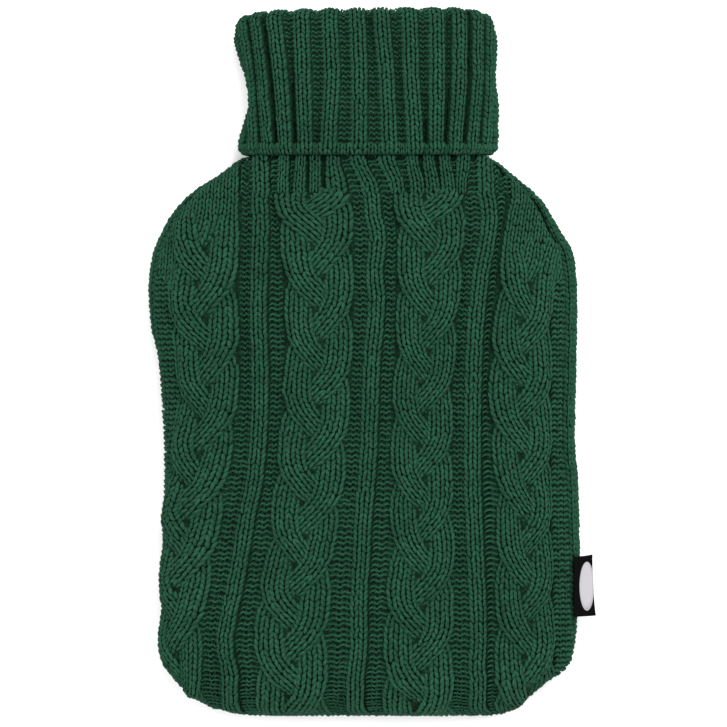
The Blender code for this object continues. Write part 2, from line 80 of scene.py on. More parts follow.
HEM_FADE = 0.0070         # the pattern's relief dies away over this length at the bottom,
SIDE_FADE = 0.0150        # and over this much towards the sides,
LEFT_FADE_TOP = 0.0600    # on the left below here
RIGHT_FADE_TOP = -0.0900  # and on the right only round the corner,
FADE_START = 0.0150       # beginning this far below those places
FADE_PAST = -0.0040       # and it is gone this far past the widest line
YOKE_SINK = 0.0014        # the cloth behind the yoke's ribs lies this much deeper
STRAIGHT_LOW = -0.1150    # below this the strips keep their widths and turn under at the sides,
END_LOW = -0.1285         # and below this the wales run straight on
STRAIGHT_HIGH = 0.0834    # and above this the outer ones run straight on into the seams
YOKE_LOW, YOKE_HIGH = 0.1190, 0.1345   # the yoke's foot, and where its ribs have closed in
YOKE_STEP = 0.0020        # length over which the cloth goes down into the yoke


def table(columns, *rows):
    """Rows of a table, each value under its column's name."""
    row = namedtuple("row", columns)
    return [row(*values) for values in rows]


BODY_EDGES = table(
    "along left right",
    (-0.1363, -0.0553, 0.0611), (-0.1343, -0.0632, 0.0684), (-0.1319, -0.0738, 0.0742),
    (-0.1261, -0.0812, 0.0793), (-0.1183, -0.0914, 0.0889), (-0.1145, -0.0943, 0.0958),
    (-0.1086, -0.0969, 0.1005), (-0.0989, -0.0986, 0.1028), (-0.0795, -0.0979, 0.1043),
    (-0.0601, -0.0979, 0.1050), (-0.0407, -0.0973, 0.1048), (-0.0213, -0.0967, 0.1043),
    (-0.0019, -0.0968, 0.1028), (0.0369, -0.0999, 0.1035), (0.0524, -0.1033, 0.1038),
    (0.0708, -0.1048, 0.1038), (0.0834, -0.1038, 0.1028), (0.0912, -0.1019, 0.1009),
    (0.0989, -0.0985, 0.0960), (0.1067, -0.0941, 0.0917), (0.1145, -0.0878, 0.0863),
    (0.1203, -0.0808, 0.0803), (0.1261, -0.0713, 0.0732), (0.1300, -0.0650, 0.0684),
    (0.1336, -0.0604, 0.0637), (0.1354, -0.0549, 0.0574), (0.1400, -0.0545, 0.0577),
    (0.1500, -0.0543, 0.0585),
)

BODY_LEVELS = table(
    "along low rim top",
    (-0.1363, 0.0, 0.0150, 0.0440), (-0.1000, 0.0, 0.0165, 0.0458),
    (0.0600, 0.0, 0.0170, 0.0460), (0.0950, 0.0, 0.0175, 0.0440),
    (0.1180, 0.0, 0.0180, 0.0400), (0.1280, 0.0014, 0.0186, 0.0378),
    (0.1336, 0.0036, 0.0190, 0.0362), (0.1354, 0.0052, 0.0192, 0.0345),
    (0.1400, 0.0052, 0.0194, 0.0348), (0.1500, 0.0052, 0.0192, 0.0352),
)

# The ribs as places across the cover, and the seams as lengths of cloth past its widest
# line, towards the back.
FRONT_LINES = table(
    "along seam_left rib_a rib_b rib_c seam_right",
    (-0.1363, 0.0000, -0.0645, -0.0044, 0.0545, 0.0000),
    (-0.1300, 0.0005, -0.0645, -0.0044, 0.0545, 0.0000),
    (-0.1222, 0.0015, -0.0645, -0.0043, 0.0545, 0.0000),
    (-0.1150, 0.0040, -0.0643, -0.0042, 0.0545, 0.0000),
    (-0.1100, 0.0070, -0.0650, -0.0034, 0.0540, 0.0000),
    (-0.0989, 0.0140, -0.0668, -0.0026, 0.0546, -0.0050),
    (-0.0795, 0.0170, -0.0636, -0.0026, 0.0543, -0.0100),
    (-0.0601, 0.0160, -0.0597, -0.0015, 0.0534, -0.0115),
    (-0.0407, 0.0140, -0.0567, -0.0006, 0.0526, -0.0125),
    (-0.0213, 0.0100, -0.0525, 0.0010, 0.0519, -0.0128),
    (0.0078, 0.0020, -0.0502, 0.0027, 0.0519, -0.0130),
    (0.0369, -0.0030, -0.0498, 0.0038, 0.0524, -0.0130),
    (0.0563, -0.0060, -0.0507, 0.0056, 0.0535, -0.0128),
    (0.0660, -0.0075, -0.0506, 0.0060, 0.0545, -0.0126),
    (0.0790, -0.0085, -0.0502, 0.0050, 0.0560, -0.0125),
    (0.0951, -0.0090, -0.0497, 0.0065, 0.0590, -0.0125),
    (0.1048, -0.0085, -0.0495, 0.0047, 0.0601, -0.0110),
    (0.1180, -0.0065, -0.0497, 0.0029, 0.0580, -0.0085),
    (0.1339, -0.0010, -0.0420, -0.0029, 0.0470, -0.0025),
    (0.1500, 0.0000, -0.0380, -0.0029, 0.0430, 0.0000),
)
# Edges of the cables as places across, apart from the outer edge of the first.
CABLE_EDGES = table(
    "along one_right two_left two_right three_left three_right four_left four_right",
    (-0.1280, -0.0781, -0.0492, -0.0179, 0.0097, 0.0417, 0.0635, 0.0912),
    (-0.1038, -0.0785, -0.0515, -0.0182, 0.0102, 0.0417, 0.0635, 0.0912),
    (-0.0795, -0.0762, -0.0505, -0.0170, 0.0108, 0.0422, 0.0635, 0.0907),
    (-0.0553, -0.0718, -0.0456, -0.0152, 0.0136, 0.0427, 0.0640, 0.0902),
    (-0.0310, -0.0679, -0.0432, -0.0112, 0.0133, 0.0417, 0.0642, 0.0897),
    (-0.0068, -0.0640, -0.0407, -0.0092, 0.0136, 0.0417, 0.0621, 0.0897),
    (0.0175, -0.0611, -0.0383, -0.0073, 0.0143, 0.0417, 0.0605, 0.0897),
    (0.0417, -0.0605, -0.0369, -0.0063, 0.0160, 0.0432, 0.0613, 0.0897),
    (0.0660, -0.0611, -0.0373, -0.0058, 0.0160, 0.0451, 0.0642, 0.0902),
    (0.0902, -0.0609, -0.0388, -0.0058, 0.0167, 0.0473, 0.0660, 0.0951),
    (0.1145, -0.0601, -0.0422, -0.0063, 0.0150, 0.0475, 0.0705, 0.0990),
)
# A strand turns straight within "slows" of where its cable is full; "hurry" is how much
# further its last swing has gone by then.
CABLES = table(
    "crossing lay starts full slows hurry",
    (0.0732, 0.0325, 0.1100, 0.0962, 0.0120, 0.0),
    (0.0917, 0.0307, 0.1240, 0.1180, 0.0020, radians(42)),
    (0.0873, 0.0307, 0.1240, 0.1180, 0.0020, radians(25)),
    (0.0553, 0.0322, 0.0920, 0.0781, 0.0120, 0.0),
)
LOOP_STEP = 0.001         # spacing of a section's points
TURNS = np.radians(np.arange(-270.0, 541.0, 1.5))
CROWN = int(np.argmin(np.abs(TURNS)))
LEFT_SIDE = int(np.argmin(np.abs(TURNS + pi / 2)))
RIGHT_SIDE = int(np.argmin(np.abs(TURNS - pi / 2)))
LOOP_START = int(np.argmin(np.abs(TURNS - 2 * pi)))


def ease(start, end, value):
    """0 before start, 1 past end, with a soft change between them."""
    t = np.clip((value - start) / (end - start), 0.0, 1.0)
    return t * t * (3 - 2 * t)


def fall(start, end, value):
    """1 before start, 0 past end, with a soft change between them."""
    return 1 - ease(start, end, value)


def read(rows, column, along):
    """Smooth value of a column between a table's rows, at many places at once."""
    places = np.array([row.along for row in rows])
    values = np.array([getattr(row, column) for row in rows])
    last = len(rows) - 1
    before = np.maximum(np.arange(last + 1) - 1, 0)
    after = np.minimum(np.arange(last + 1) + 1, last)
    slopes = (values[after] - values[before]) / (places[after] - places[before])
    along = np.clip(along, places[0], places[-1])
    i = np.clip(np.searchsorted(places, along, side="right") - 1, 0, last - 1)
    span = places[i + 1] - places[i]
    t = (along - places[i]) / span
    return (values[i] * (1 + 2 * t) * (1 - t) ** 2 + values[i + 1] * t * t * (3 - 2 * t)
            + span * (slopes[i] * t * (1 - t) ** 2 - slopes[i + 1] * t * t * (1 - t)))


class Side:
    """The outer side of a wrapped cloth, read at lengths round it and lengths up it."""

    def __init__(self, step, along, left, right, low, rim, top, floor):
        columns = [np.asarray(c, float)[:, None] for c in (left, right, low, rim, top, floor)]
        left, right, low, rim, top, floor = columns
        across, up = np.sin(TURNS)[None, :], np.cos(TURNS)[None, :]
        power = 2 / np.where(up > 0, FRONT_POWER, BACK_POWER)
        self.centre, self.half = (left + right) / 2, (right - left) / 2
        x = self.centre + self.half * np.sign(across) * np.abs(across) ** power
        z = rim + np.where(up > 0, top - rim, low - rim) * np.abs(up) ** power
        z = np.maximum(z, np.where(up > 0, -1.0, floor))
        lengths = np.hypot(np.diff(x), np.diff(z)).cumsum(axis=1)
        lengths = np.insert(lengths, 0, 0.0, axis=1)
        self.lengths = lengths - lengths[:, CROWN:CROWN + 1]
        self.step = step
        self.first = self.lengths[:, 0].max()
        count = int((self.lengths[:, -1].min() - self.first) / LOOP_STEP)
        even = self.first + LOOP_STEP * np.arange(count)
        self.points = np.empty((len(along), count, 3))
        for i, own in enumerate(self.lengths):
            self.points[i, :, 0] = np.interp(even, own, x[i])
            self.points[i, :, 1] = along[i]
            self.points[i, :, 2] = np.interp(even, own, z[i])
        round_it = np.gradient(self.points, axis=1)
        up_it = np.gradient(self.points, axis=0)
        normals = np.cross(round_it, up_it)
        self.normals = normals / (np.linalg.norm(normals, axis=2, keepdims=True) + 1e-12)

    def length_at(self, turn):
        """Length round the cloth to a turn of each row."""
        return np.array([np.interp(turn, TURNS, own) for own in self.lengths])

    def length_across(self, x):
        """Length round the cloth to places across its upper side, a row of them for each of
        its rows. What lies past the widest line turns under."""
        off = (x - self.centre) / self.half
        share = np.clip(off, -1.0, 1.0)
        turn = np.arcsin(np.sign(share) * np.abs(share) ** (FRONT_POWER / 2))
        upper = np.array([np.interp(t, TURNS, own) for t, own in zip(turn, self.lengths)])
        return upper + (off - share) * self.half

    def lay(self, round_it, up_it, height):
        """Points at lengths round and up the cloth, and at heights off its surface."""
        rows, columns = self.points.shape[:2]
        row = np.clip(up_it / self.step, 0.0, rows - 1.001)
        column = np.clip((round_it - self.first) / LOOP_STEP, 0.0, columns - 1.001)
        i, j = row.astype(int), column.astype(int)
        a, b = (row - i)[..., None], (column - j)[..., None]

        def between(grid):
            return ((grid[i, j] * (1 - b) + grid[i, j + 1] * b) * (1 - a)
                    + (grid[i + 1, j] * (1 - b) + grid[i + 1, j + 1] * b) * a)

        normal = between(self.normals)
        normal /= np.linalg.norm(normal, axis=-1, keepdims=True) + 1e-12
        return between(self.points) + normal * np.asarray(height)[..., None]


def along_of(up_it):
    """Place along the cover of a length of cloth run up from its bottom edge."""
    t = np.clip(up_it / END_LENGTH, 0.0, 1.0)
    end = END_ROUND * (1 - np.cos(pi / 2 * t))
    return BOTTOM + end + np.maximum(up_it - END_LENGTH, 0.0)


def up_of(along):
    """Length of cloth from the bottom edge up to a place along the cover."""
    t = np.arccos(1 - np.clip((along - BOTTOM) / END_ROUND, 0.0, 1.0)) / (pi / 2)
    return END_LENGTH * t + np.maximum(along - BOTTOM - END_ROUND, 0.0)


BODY_STEP = 0.001         # spacing of the rows of points up the cloth
body_ups = np.arange(0.0, up_of(NECK_TOP), BODY_STEP)
body_alongs = along_of(body_ups)
end_share = np.clip((body_alongs - BOTTOM) / END_ROUND, 0.0, 1.0)
fullness = (1 - (1 - end_share) ** END_POWER) ** (1 / END_POWER)
body_low, body_rim, body_top = (read(BODY_LEVELS, name, body_alongs)
                                for name in ("low", "rim", "top"))
body_low = np.maximum(body_low, 0.0)
body = Side(
    BODY_STEP,
    body_alongs,
    read(BODY_EDGES, "left", body_alongs) + GROUND_INSET,
    read(BODY_EDGES, "right", body_alongs) - GROUND_INSET,
    body_rim - fullness * (body_rim - body_low + BACK_SAG),
    body_rim,
    body_rim + fullness * (body_top - body_rim - GROUND_INSET),
    body_low,
)

widest_left, widest_right = body.lengths[:, LEFT_SIDE], body.lengths[:, RIGHT_SIDE]
seam_left = widest_left - read(FRONT_LINES, "seam_left", body_alongs)
seam_right = widest_right + read(FRONT_LINES, "seam_right", body_alongs)
loop_length = body.lengths[:, LOOP_START]
low_row = int(round(up_of(STRAIGHT_LOW) / BODY_STEP))
high_row = int(round(up_of(STRAIGHT_HIGH) / BODY_STEP))
straight_rows = np.maximum(np.arange(len(body_ups)), low_row)
end_rows = np.maximum(np.arange(len(body_ups)), int(round(up_of(END_LOW) / BODY_STEP)))


def front_line(rows, column):
    """Length round the front to a line of a table."""
    return body.length_across(read(rows, column, body_alongs)[:, None])[:, 0]


strip_edges = []
for rib, left, right in (("rib_a", "one_right", "two_left"), ("rib_b", "two_right", "three_left"),
                         ("rib_c", "three_right", "four_left")):
    middle = front_line(FRONT_LINES, rib)
    to_left = (middle - front_line(CABLE_EDGES, left))[straight_rows]
    to_right = (front_line(CABLE_EDGES, right) - middle)[straight_rows]
    middle = middle[end_rows]
    strip_edges += [middle - to_left, middle - RIB_HALF, middle + RIB_HALF, middle + to_right]
side_left = np.minimum(seam_left, widest_left)[straight_rows]
first_share = LEFT_CABLE_SHARE - LEFT_CABLE_LESS * ease(*LEFT_CABLE_BAND, body_alongs)
first_width = first_share * (strip_edges[0] - side_left)
first_width = first_width[np.clip(np.arange(len(first_width)), low_row, high_row)]
first_cable = strip_edges[0] - first_width
last_width = front_line(CABLE_EDGES, "four_right") - front_line(CABLE_EDGES, "four_left")
last_cable = strip_edges[-1] + last_width[straight_rows]
strip_edges = [seam_left[straight_rows], first_cable] + strip_edges + [
    last_cable, seam_right[straight_rows]]

# Strips of the front from seam to seam: places of their first edges in strip_edges.
CABLE_STRIPS = (1, 5, 9, 13)
RIB_STRIPS = (3, 7, 11)
GROOVE_STRIPS = (2, 4, 6, 8, 10, 12)
SIDE_STRIPS = (0, 14)


def edge_at(line, up_it):
    """Length round the cloth to a line that runs up it."""
    return np.interp(up_it, body_ups, line)


def strip_span(strip, up_it):
    """Lengths round the cloth to a strip's two edges."""
    return edge_at(strip_edges[strip], up_it), edge_at(strip_edges[strip + 1], up_it)


def strip_share(strip, round_it, up_it):
    """How far across a strip a place is, 0 and 1 being its edges."""
    low, high = strip_span(strip, up_it)
    return (round_it - low) / (high - low)


def strand_turn(cable, strand, along):
    """Where a strand is in its sideways swing, as an angle. It stops where the cable starts."""
    hurry = cable.hurry * ease(cable.full - HURRY_LENGTH, cable.full, along)
    late = np.clip((along - cable.full + cable.slows) / (2 * cable.slows), 0.0, 1.0)
    along = np.minimum(along, cable.full + cable.slows) - cable.slows * late * late
    turn = 2 * pi * ((cable.crossing - along) / (3 * cable.lay) + strand / 3)
    return turn + CROSSING_LAG - hurry


def strand_crest(turn):
    """Height of a strand's crest: it rises over one neighbour and dips under the other."""
    return STRAND_MID - STRAND_LIFT * np.sin(2 * turn)


def edge_fade(round_it, up_it):
    """The pattern's relief dies away at the bottom edge and towards the sides."""
    along = along_of(up_it)
    gone = 0.0
    for top, inwards in ((LEFT_FADE_TOP, round_it - edge_at(widest_left, up_it)),
                         (RIGHT_FADE_TOP, edge_at(widest_right, up_it) - round_it)):
        gone = np.maximum(gone, fall(top - FADE_START, top, along)
                          * fall(FADE_PAST, SIDE_FADE, inwards))
    return ease(0.0, HEM_FADE, along - BOTTOM) * (1 - gone)


def groove_depth(along):
    """Depth of the grooves on either side of a rib."""
    return GROOVE_DEPTH + GROOVE_DEEPER * ease(*GROOVE_BAND, along)


def front_height(round_it, up_it):
    """Height of the front's pattern above the purl ground."""
    along = along_of(up_it)
    height = np.zeros(np.shape(round_it))
    for cable, strip in zip(CABLES, CABLE_STRIPS):
        share = strip_share(strip, round_it, up_it)
        plait = STRAND_CORE * ease(*CORE_SLOPE, np.minimum(share, 1 - share))
        for strand in range(3):
            turn = strand_turn(cable, strand, along)
            off = (share - 0.5 - STRAND_SWING * np.sin(turn)) / STRAND_HALF
            plait = np.maximum(plait, strand_crest(turn) * (1 - off * off))
        grown = fall(cable.full, cable.starts, along)
        height += ((share > 0) & (share < 1)) * (grown * plait + (1 - grown) * PLAIN_RISE)
    for strips, rise, slope in ((RIB_STRIPS, RIB_RISE, RIB_SLOPE),
                                (SIDE_STRIPS, SIDE_RISE, SIDE_SLOPE)):
        for strip in strips:
            share = strip_share(strip, round_it, up_it)
            height += rise * ease(0.0, slope, np.minimum(share, 1 - share))
    for strip in GROOVE_STRIPS:
        share = np.clip(strip_share(strip, round_it, up_it), 0.0, 1.0)
        height -= (groove_depth(along) + GROOVE_UNDER) * np.sin(pi * share)
    in_yoke = ease(YOKE_LOW - YOKE_STEP, YOKE_LOW, along)
    return height * (1 - in_yoke) * edge_fade(round_it, up_it) - YOKE_SINK * in_yoke


def lay_grid(mesh, across, along, place):
    """Add a grid of cells and lay its corners at place(share across, share along)."""
    made = bmesh.ops.create_grid(mesh, x_segments=across, y_segments=along, size=0.5)
    corners = made["verts"]
    shares = np.array([corner.co[:2] for corner in corners]) + 0.5
    for corner, point in zip(corners, place(shares[:, 0], shares[:, 1])):
        corner.co = point


def finish_piece(name, mesh, material):
    """Make a finished object of a bmesh, riding on the cover."""
    data = bpy.data.meshes.new(name)
    mesh.to_mesh(data)
    mesh.free()
    data.shade_smooth()
    data.materials.append(material)
    piece = bpy.data.objects.new(name, data)
    bpy.context.scene.collection.objects.link(piece)
    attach(piece, "root")
    return piece


def thicken(piece, thickness):
    """Give a laid sheet its thickness, towards its hidden side."""
    wall = piece.modifiers.new("wall", "SOLIDIFY")
    wall.thickness = thickness
    wall.offset = -1.0


def add_node(tree, kind, **values):
    """Add a shader node, with its settings and its unlinked inputs by name."""
    node = tree.nodes.new(kind)
    for name, value in values.items():
        if hasattr(node, name):
            setattr(node, name, value)
        else:
            node.inputs[name.replace("_", " ")].default_value = value
    return node


def new_material(name, roughness, specular):
    """A material, its node tree and its shader."""
    material = bpy.data.materials.new(name)
    material.use_nodes = True
    shader = material.node_tree.nodes["Principled BSDF"]
    shader.inputs["Roughness"].default_value = roughness
    shader.inputs["Specular IOR Level"].default_value = specular
    return material, material.node_tree, shader


def add_texture(tree, kind, places, **values):
    """Add a texture node that reads its places from a socket."""
    texture = add_node(tree, kind, **values)
    tree.links.new(places, texture.inputs["Vector"])
    return texture


def mix_tones(tree, shader, factor, dark, light):
    """Colour a surface between two tones."""
    tones = add_node(tree, "ShaderNodeMix", data_type="RGBA")
    tones.inputs["A"].default_value = (*dark, 1.0)
    tones.inputs["B"].default_value = (*light, 1.0)
    tree.links.new(factor, tones.inputs["Factor"])
    tree.links.new(tones.outputs["Result"], shader.inputs["Base Color"])


def add_bump(tree, shader, height, distance, strength):
    """Raise a surface by a socket's values."""
    bump = add_node(tree, "ShaderNodeBump", Distance=distance, Strength=strength)
    tree.links.new(height, bump.inputs["Height"])
    tree.links.new(bump.outputs["Normal"], shader.inputs["Normal"])


def shadow_knit(name, colour):
    """Yarn deep between the stitches, seen only through the gaps, coloured in painted shade: a
    dark tone, painted darker still at the gaps between its loops.
    """
    material, tree, shader = new_material(name, roughness=0.95, specular=0.05)
    place = add_node(tree, "ShaderNodeTexCoord").outputs["Object"]
    loops = add_texture(tree, "ShaderNodeTexVoronoi", place, Scale=520.0)
    reach = add_node(tree, "ShaderNodeMapRange", From_Min=0.1, From_Max=0.7,
                     To_Min=1.0, To_Max=0.0)
    tree.links.new(loops.outputs["Distance"], reach.inputs["Value"])
    # Painted shade: the tone falls to 0.35 of the colour at the gaps between the loops.
    mix_tones(tree, shader, reach.outputs["Result"], [c * 0.35 for c in colour], colour)
    add_bump(tree, shader, reach.outputs["Result"], distance=0.0006, strength=0.8)
    return material


SHEET = 0.0011            # thickness of the cloth behind the stitches
SHEET_INSET = 0.0014      # its outer side lies this far under the pattern's surface
SIDE_INSET = 0.0006       # this far at its widest lines
SIDE_BAND = (0.0020, 0.0070)   # which reach from the first to the second distance
SEAM_INSET = 0.0022       # and this far along the seams,
SEAM_BAND = 0.0050        # in a band of this width,
CORNER_INSET = 0.0003     # but only this far round the lower corners,
CORNER_LOW, CORNER_HIGH = STRAIGHT_LOW - 0.0050, STRAIGHT_LOW + 0.0200
HEM_SHARE = 0.3           # and this share of it at the bottom edge,
HEM_BAND = 0.0080         # growing over this length
# The cloth behind the stitches is coloured in painted shade: a dark green that stands for the yarn
# in shadow.
painted_shade_cloth = shadow_knit("painted_shade_cloth", (0.0050, 0.0240, 0.0125))

SHEET_CELLS = (3, 12, 2, 3, 2, 12, 2, 3, 2, 12, 2, 3, 2, 12, 3)   # strip by strip
SHEET_ROWS = 96


def at_side(round_it, up_it):
    """1 at the cloth's widest lines, where one sees past its stitches, and 0 away from them."""
    off = np.minimum(np.abs(round_it - edge_at(widest_left, up_it)),
                     np.abs(round_it - edge_at(widest_right, up_it)))
    return fall(*SIDE_BAND, off)


def sheet_inset(inset, to_seam, round_it, up_it):
    """How far a sheet lies under its surface, at distances from its seams."""
    low = fall(CORNER_LOW, CORNER_HIGH, along_of(up_it))
    at_seam = SEAM_INSET + (CORNER_INSET - SEAM_INSET) * low
    inset = inset + (at_seam - inset) * fall(0.0, SEAM_BAND, to_seam)
    inset -= np.maximum(inset - SIDE_INSET, 0.0) * at_side(round_it, up_it)
    return inset * (HEM_SHARE + (1 - HEM_SHARE) * ease(0.0, HEM_BAND, up_it))


def front_sheet(across, along):
    """Corners of the front's sheet, gathered strip by strip between the seams."""
    up_it = along * body_ups[-1]
    stops = np.cumsum((0,) + SHEET_CELLS)
    place = across * stops[-1]
    round_it = np.empty(len(across))
    for strip, cells in enumerate(SHEET_CELLS):
        own = (place >= stops[strip] - 0.01) & (place <= stops[strip + 1] + 0.01)
        low, high = strip_span(strip, up_it[own])
        round_it[own] = low + (place[own] - stops[strip]) / cells * (high - low)
    height = front_height(round_it, up_it)
    low_seam, high_seam = edge_at(seam_left, up_it), edge_at(seam_right, up_it)
    round_it = np.clip(round_it, low_seam, high_seam)
    to_seam = np.minimum(round_it - low_seam, high_seam - round_it)
    height -= sheet_inset(SHEET_INSET, to_seam, round_it, up_it)
    return body.lay(round_it, up_it, height) + np.array((0.0, 0.0, SEAM_GAP))


def make_sheet(name, across, along, place, thickness, closed=False):
    """Lay a sheet of cloth that goes behind the stitches, coloured in painted shade. A closed one
    meets itself.
    """
    mesh = bmesh.new()
    lay_grid(mesh, across, along, place)
    if closed:
        bmesh.ops.remove_doubles(mesh, verts=mesh.verts, dist=0.00002)
    piece = finish_piece(name, mesh, painted_shade_cloth)
    thicken(piece, thickness)
    return piece


front_cloth = make_sheet("front_cloth", sum(SHEET_CELLS), SHEET_ROWS, front_sheet, SHEET)
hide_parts("front_panel")


# --------------------------------------------------------------------- cables
# Four plaits of nine wales, each of three strands that cross over and under one another.
# They are knitted in one with the front: each stitch shows two slanting stretches of soft
# two-ply yarn, laid over the stitch below.

WALE = 0.0042             # width of a stitch
ROW = 0.0026              # height of a stitch
YARN_HALF = 0.00084       # half the thickness of the yarn, lightly flattened
YARN_BACK = 0.0004        # a stitch's middle lies this far under the pattern's surface


def add_yarn(mesh, path, wide, deep, sides, bands):
    """A stretch of yarn along a path of three points, thickest in its middle."""
    made = bmesh.ops.create_uvsphere(mesh, u_segments=sides, v_segments=bands, radius=1.0,
                                     calc_uvs=True)
    first, bend, last = (Vector(point) for point in path)
    for corner in made["verts"]:
        t = (corner.co.z + 1) / 2
        middle = first * (1 - t) ** 2 + bend * 2 * t * (1 - t) + last * t * t
        way = ((bend - first) * (1 - t) + (last - bend) * t).normalized()
        side = Vector((way.y, -way.x, 0.0)).normalized()
        corner.co = middle + side * corner.co.x * wide + side.cross(way) * corner.co.y * deep


def knit_stitch(sides=5, bands=4):
    """One plain stitch in its cell, in metres: two stretches of yarn that make a V."""
    mesh = bmesh.new()
    mesh.loops.layers.uv.new("yarn")
    for side in (-1, 1):
        path = [(WALE * (0.5 + side * 0.13), -0.26 * ROW, -0.0002),
                (WALE * (0.5 + side * 0.25), 0.40 * ROW, 0.0009),
                (WALE * (0.5 + side * 0.39), 1.14 * ROW, -0.0008)]
        add_yarn(mesh, path, YARN_HALF, YARN_HALF * 0.9, sides, bands)
    return mesh


def knitted(stitch, wales, rows):
    """Repeat a stitch across and up. Returns the flat mesh of the knitting."""
    flat = bpy.data.meshes.new("flat")
    stitch.to_mesh(flat)
    stitch.free()
    swept = bpy.data.objects.new("flat", flat)
    bpy.context.scene.collection.objects.link(swept)
    for count, offset in ((wales, (WALE, 0.0, 0.0)), (rows, (0.0, ROW, 0.0))):
        repeat = swept.modifiers.new("repeat", "ARRAY")
        repeat.count = count
        repeat.use_relative_offset = False
        repeat.use_constant_offset = True
        repeat.constant_offset_displace = offset
    graph = bpy.context.evaluated_depsgraph_get()
    made = bpy.data.meshes.new_from_object(swept.evaluated_get(graph))
    bpy.data.objects.remove(swept)
    bpy.data.meshes.remove(flat)
    return made


chance = np.random.default_rng(11)
LOOSENESS = np.array((0.00015, 0.00018, 0.00012))   # how far stitches stray from their places
LONGEST = 0.0130          # stitches drawn out further than this at a corner are left out


def knit_strip(stitch, wales, rows, place, side=body, within=None):
    """Knit a strip and lay it on the cloth. place(wale, row, cell) gives, for many points at
    once, the lengths round and up the cloth and the height of its surface. within(round_it,
    up_it) says which stitches are kept."""
    flat = knitted(stitch, wales, rows)
    points = np.empty(len(flat.vertices) * 3)
    flat.vertices.foreach_get("co", points)
    points = points.reshape(rows, wales, -1, 3)
    points += chance.normal(0.0, 1.0, (rows, wales, 1, 3)) * LOOSENESS
    wale, row = points[..., 0] / WALE, points[..., 1] / ROW
    cell = np.broadcast_to(np.arange(wales)[None, :, None], wale.shape)
    round_it, up_it, height = place(wale, row, cell)
    laid = side.lay(round_it, up_it, height + points[..., 2])
    laid[..., 2] = np.maximum(laid[..., 2], 0.0)
    kept = np.linalg.norm(np.ptp(laid, axis=2), axis=2) < LONGEST
    if within is not None:
        kept &= within(round_it.mean(axis=2), up_it.mean(axis=2))
    flat.vertices.foreach_set("co", laid.astype(np.float32).ravel())
    flat.update()
    mesh = bmesh.new()
    mesh.from_mesh(flat)
    bpy.data.meshes.remove(flat)
    mesh.verts.ensure_lookup_table()
    left_out = np.flatnonzero(np.repeat(~kept.ravel(), wale.shape[2]))
    bmesh.ops.delete(mesh, geom=[mesh.verts[i] for i in left_out], context="VERTS")
    return mesh


def join_strips(name, strips):
    """Make one object of several laid strips of knitting."""
    joined = bmesh.new()
    for strip in strips:
        part = bpy.data.meshes.new("part")
        strip.to_mesh(part)
        strip.free()
        joined.from_mesh(part)
        bpy.data.meshes.remove(part)
    return finish_piece(name, joined, green_yarn)


PLIES, TWIST = 2, 1.6     # plies round the yarn, and how many pass along one stretch
TONE_SHIFT = -0.53        # brings the mean of the yarn's tone to one half


def yarn_finish(name, deep, light):
    """Soft spun yarn: two twisted plies and fine fibres, with painted light and shade on their
    bumps, random tone, and a faint halo of fuzz.
    """
    material, tree, shader = new_material(name, roughness=0.92, specular=0.06)
    shader.inputs["Sheen Weight"].default_value = 0.06
    shader.inputs["Sheen Roughness"].default_value = 0.5
    shader.inputs["Sheen Tint"].default_value = (0.30, 0.75, 0.55, 1.0)
    place = add_node(tree, "ShaderNodeTexCoord").outputs["Object"]
    yarn = add_node(tree, "ShaderNodeUVMap", uv_map="yarn").outputs["UV"]
    turn = add_node(tree, "ShaderNodeVectorMath", operation="DOT_PRODUCT")
    turn.inputs[1].default_value = (2 * pi * PLIES, 2 * pi * TWIST, 0.0)
    tree.links.new(yarn, turn.inputs[0])
    plies = add_node(tree, "ShaderNodeMath", operation="SINE")
    tree.links.new(turn.outputs["Value"], plies.inputs[0])
    along_yarn = add_node(tree, "ShaderNodeVectorMath", operation="MULTIPLY")
    along_yarn.inputs[1].default_value = (22.0, 3.0, 0.0)
    tree.links.new(yarn, along_yarn.inputs[0])
    streaks = add_texture(tree, "ShaderNodeTexNoise", along_yarn.outputs["Vector"],
                          Scale=1.0, Detail=3.0)
    fibres = add_texture(tree, "ShaderNodeTexNoise", place, Scale=1500.0, Detail=4.0)
    clouds = add_texture(tree, "ShaderNodeTexNoise", place, Scale=42.0, Detail=2.0)
    own = add_node(tree, "ShaderNodeNewGeometry")

    # Painted light and shade: the plies and the fine fibres lighten the tone where their bumps
    # stand high and darken it in their grooves. The fine fibres' share is also random tone, as are
    # the streaks, the clouds and each stitch's own share.
    tone = None
    for source, share in ((plies.outputs[0], 0.10), (fibres.outputs["Fac"], 0.80),
                          (streaks.outputs["Fac"], 0.40), (clouds.outputs["Fac"], 0.50),
                          (own.outputs["Random Per Island"], 0.36)):
        scaled = add_node(tree, "ShaderNodeMath", operation="MULTIPLY_ADD")
        scaled.inputs[1].default_value = share
        tree.links.new(source, scaled.inputs[0])
        if tone is None:
            scaled.inputs[2].default_value = TONE_SHIFT
        else:
            tree.links.new(tone, scaled.inputs[2])
        tone = scaled.outputs[0]
    mix_tones(tree, shader, tone, deep, light)

    relief = add_node(tree, "ShaderNodeMath", operation="MULTIPLY_ADD")
    relief.inputs[1].default_value = 0.22
    tree.links.new(plies.outputs[0], relief.inputs[0])
    tree.links.new(fibres.outputs["Fac"], relief.inputs[2])
    add_bump(tree, shader, relief.outputs[0], distance=0.00040, strength=0.8)
    return material


green_yarn = yarn_finish("green_yarn", (0.0046, 0.0255, 0.0130), (0.0160, 0.0720, 0.0400))

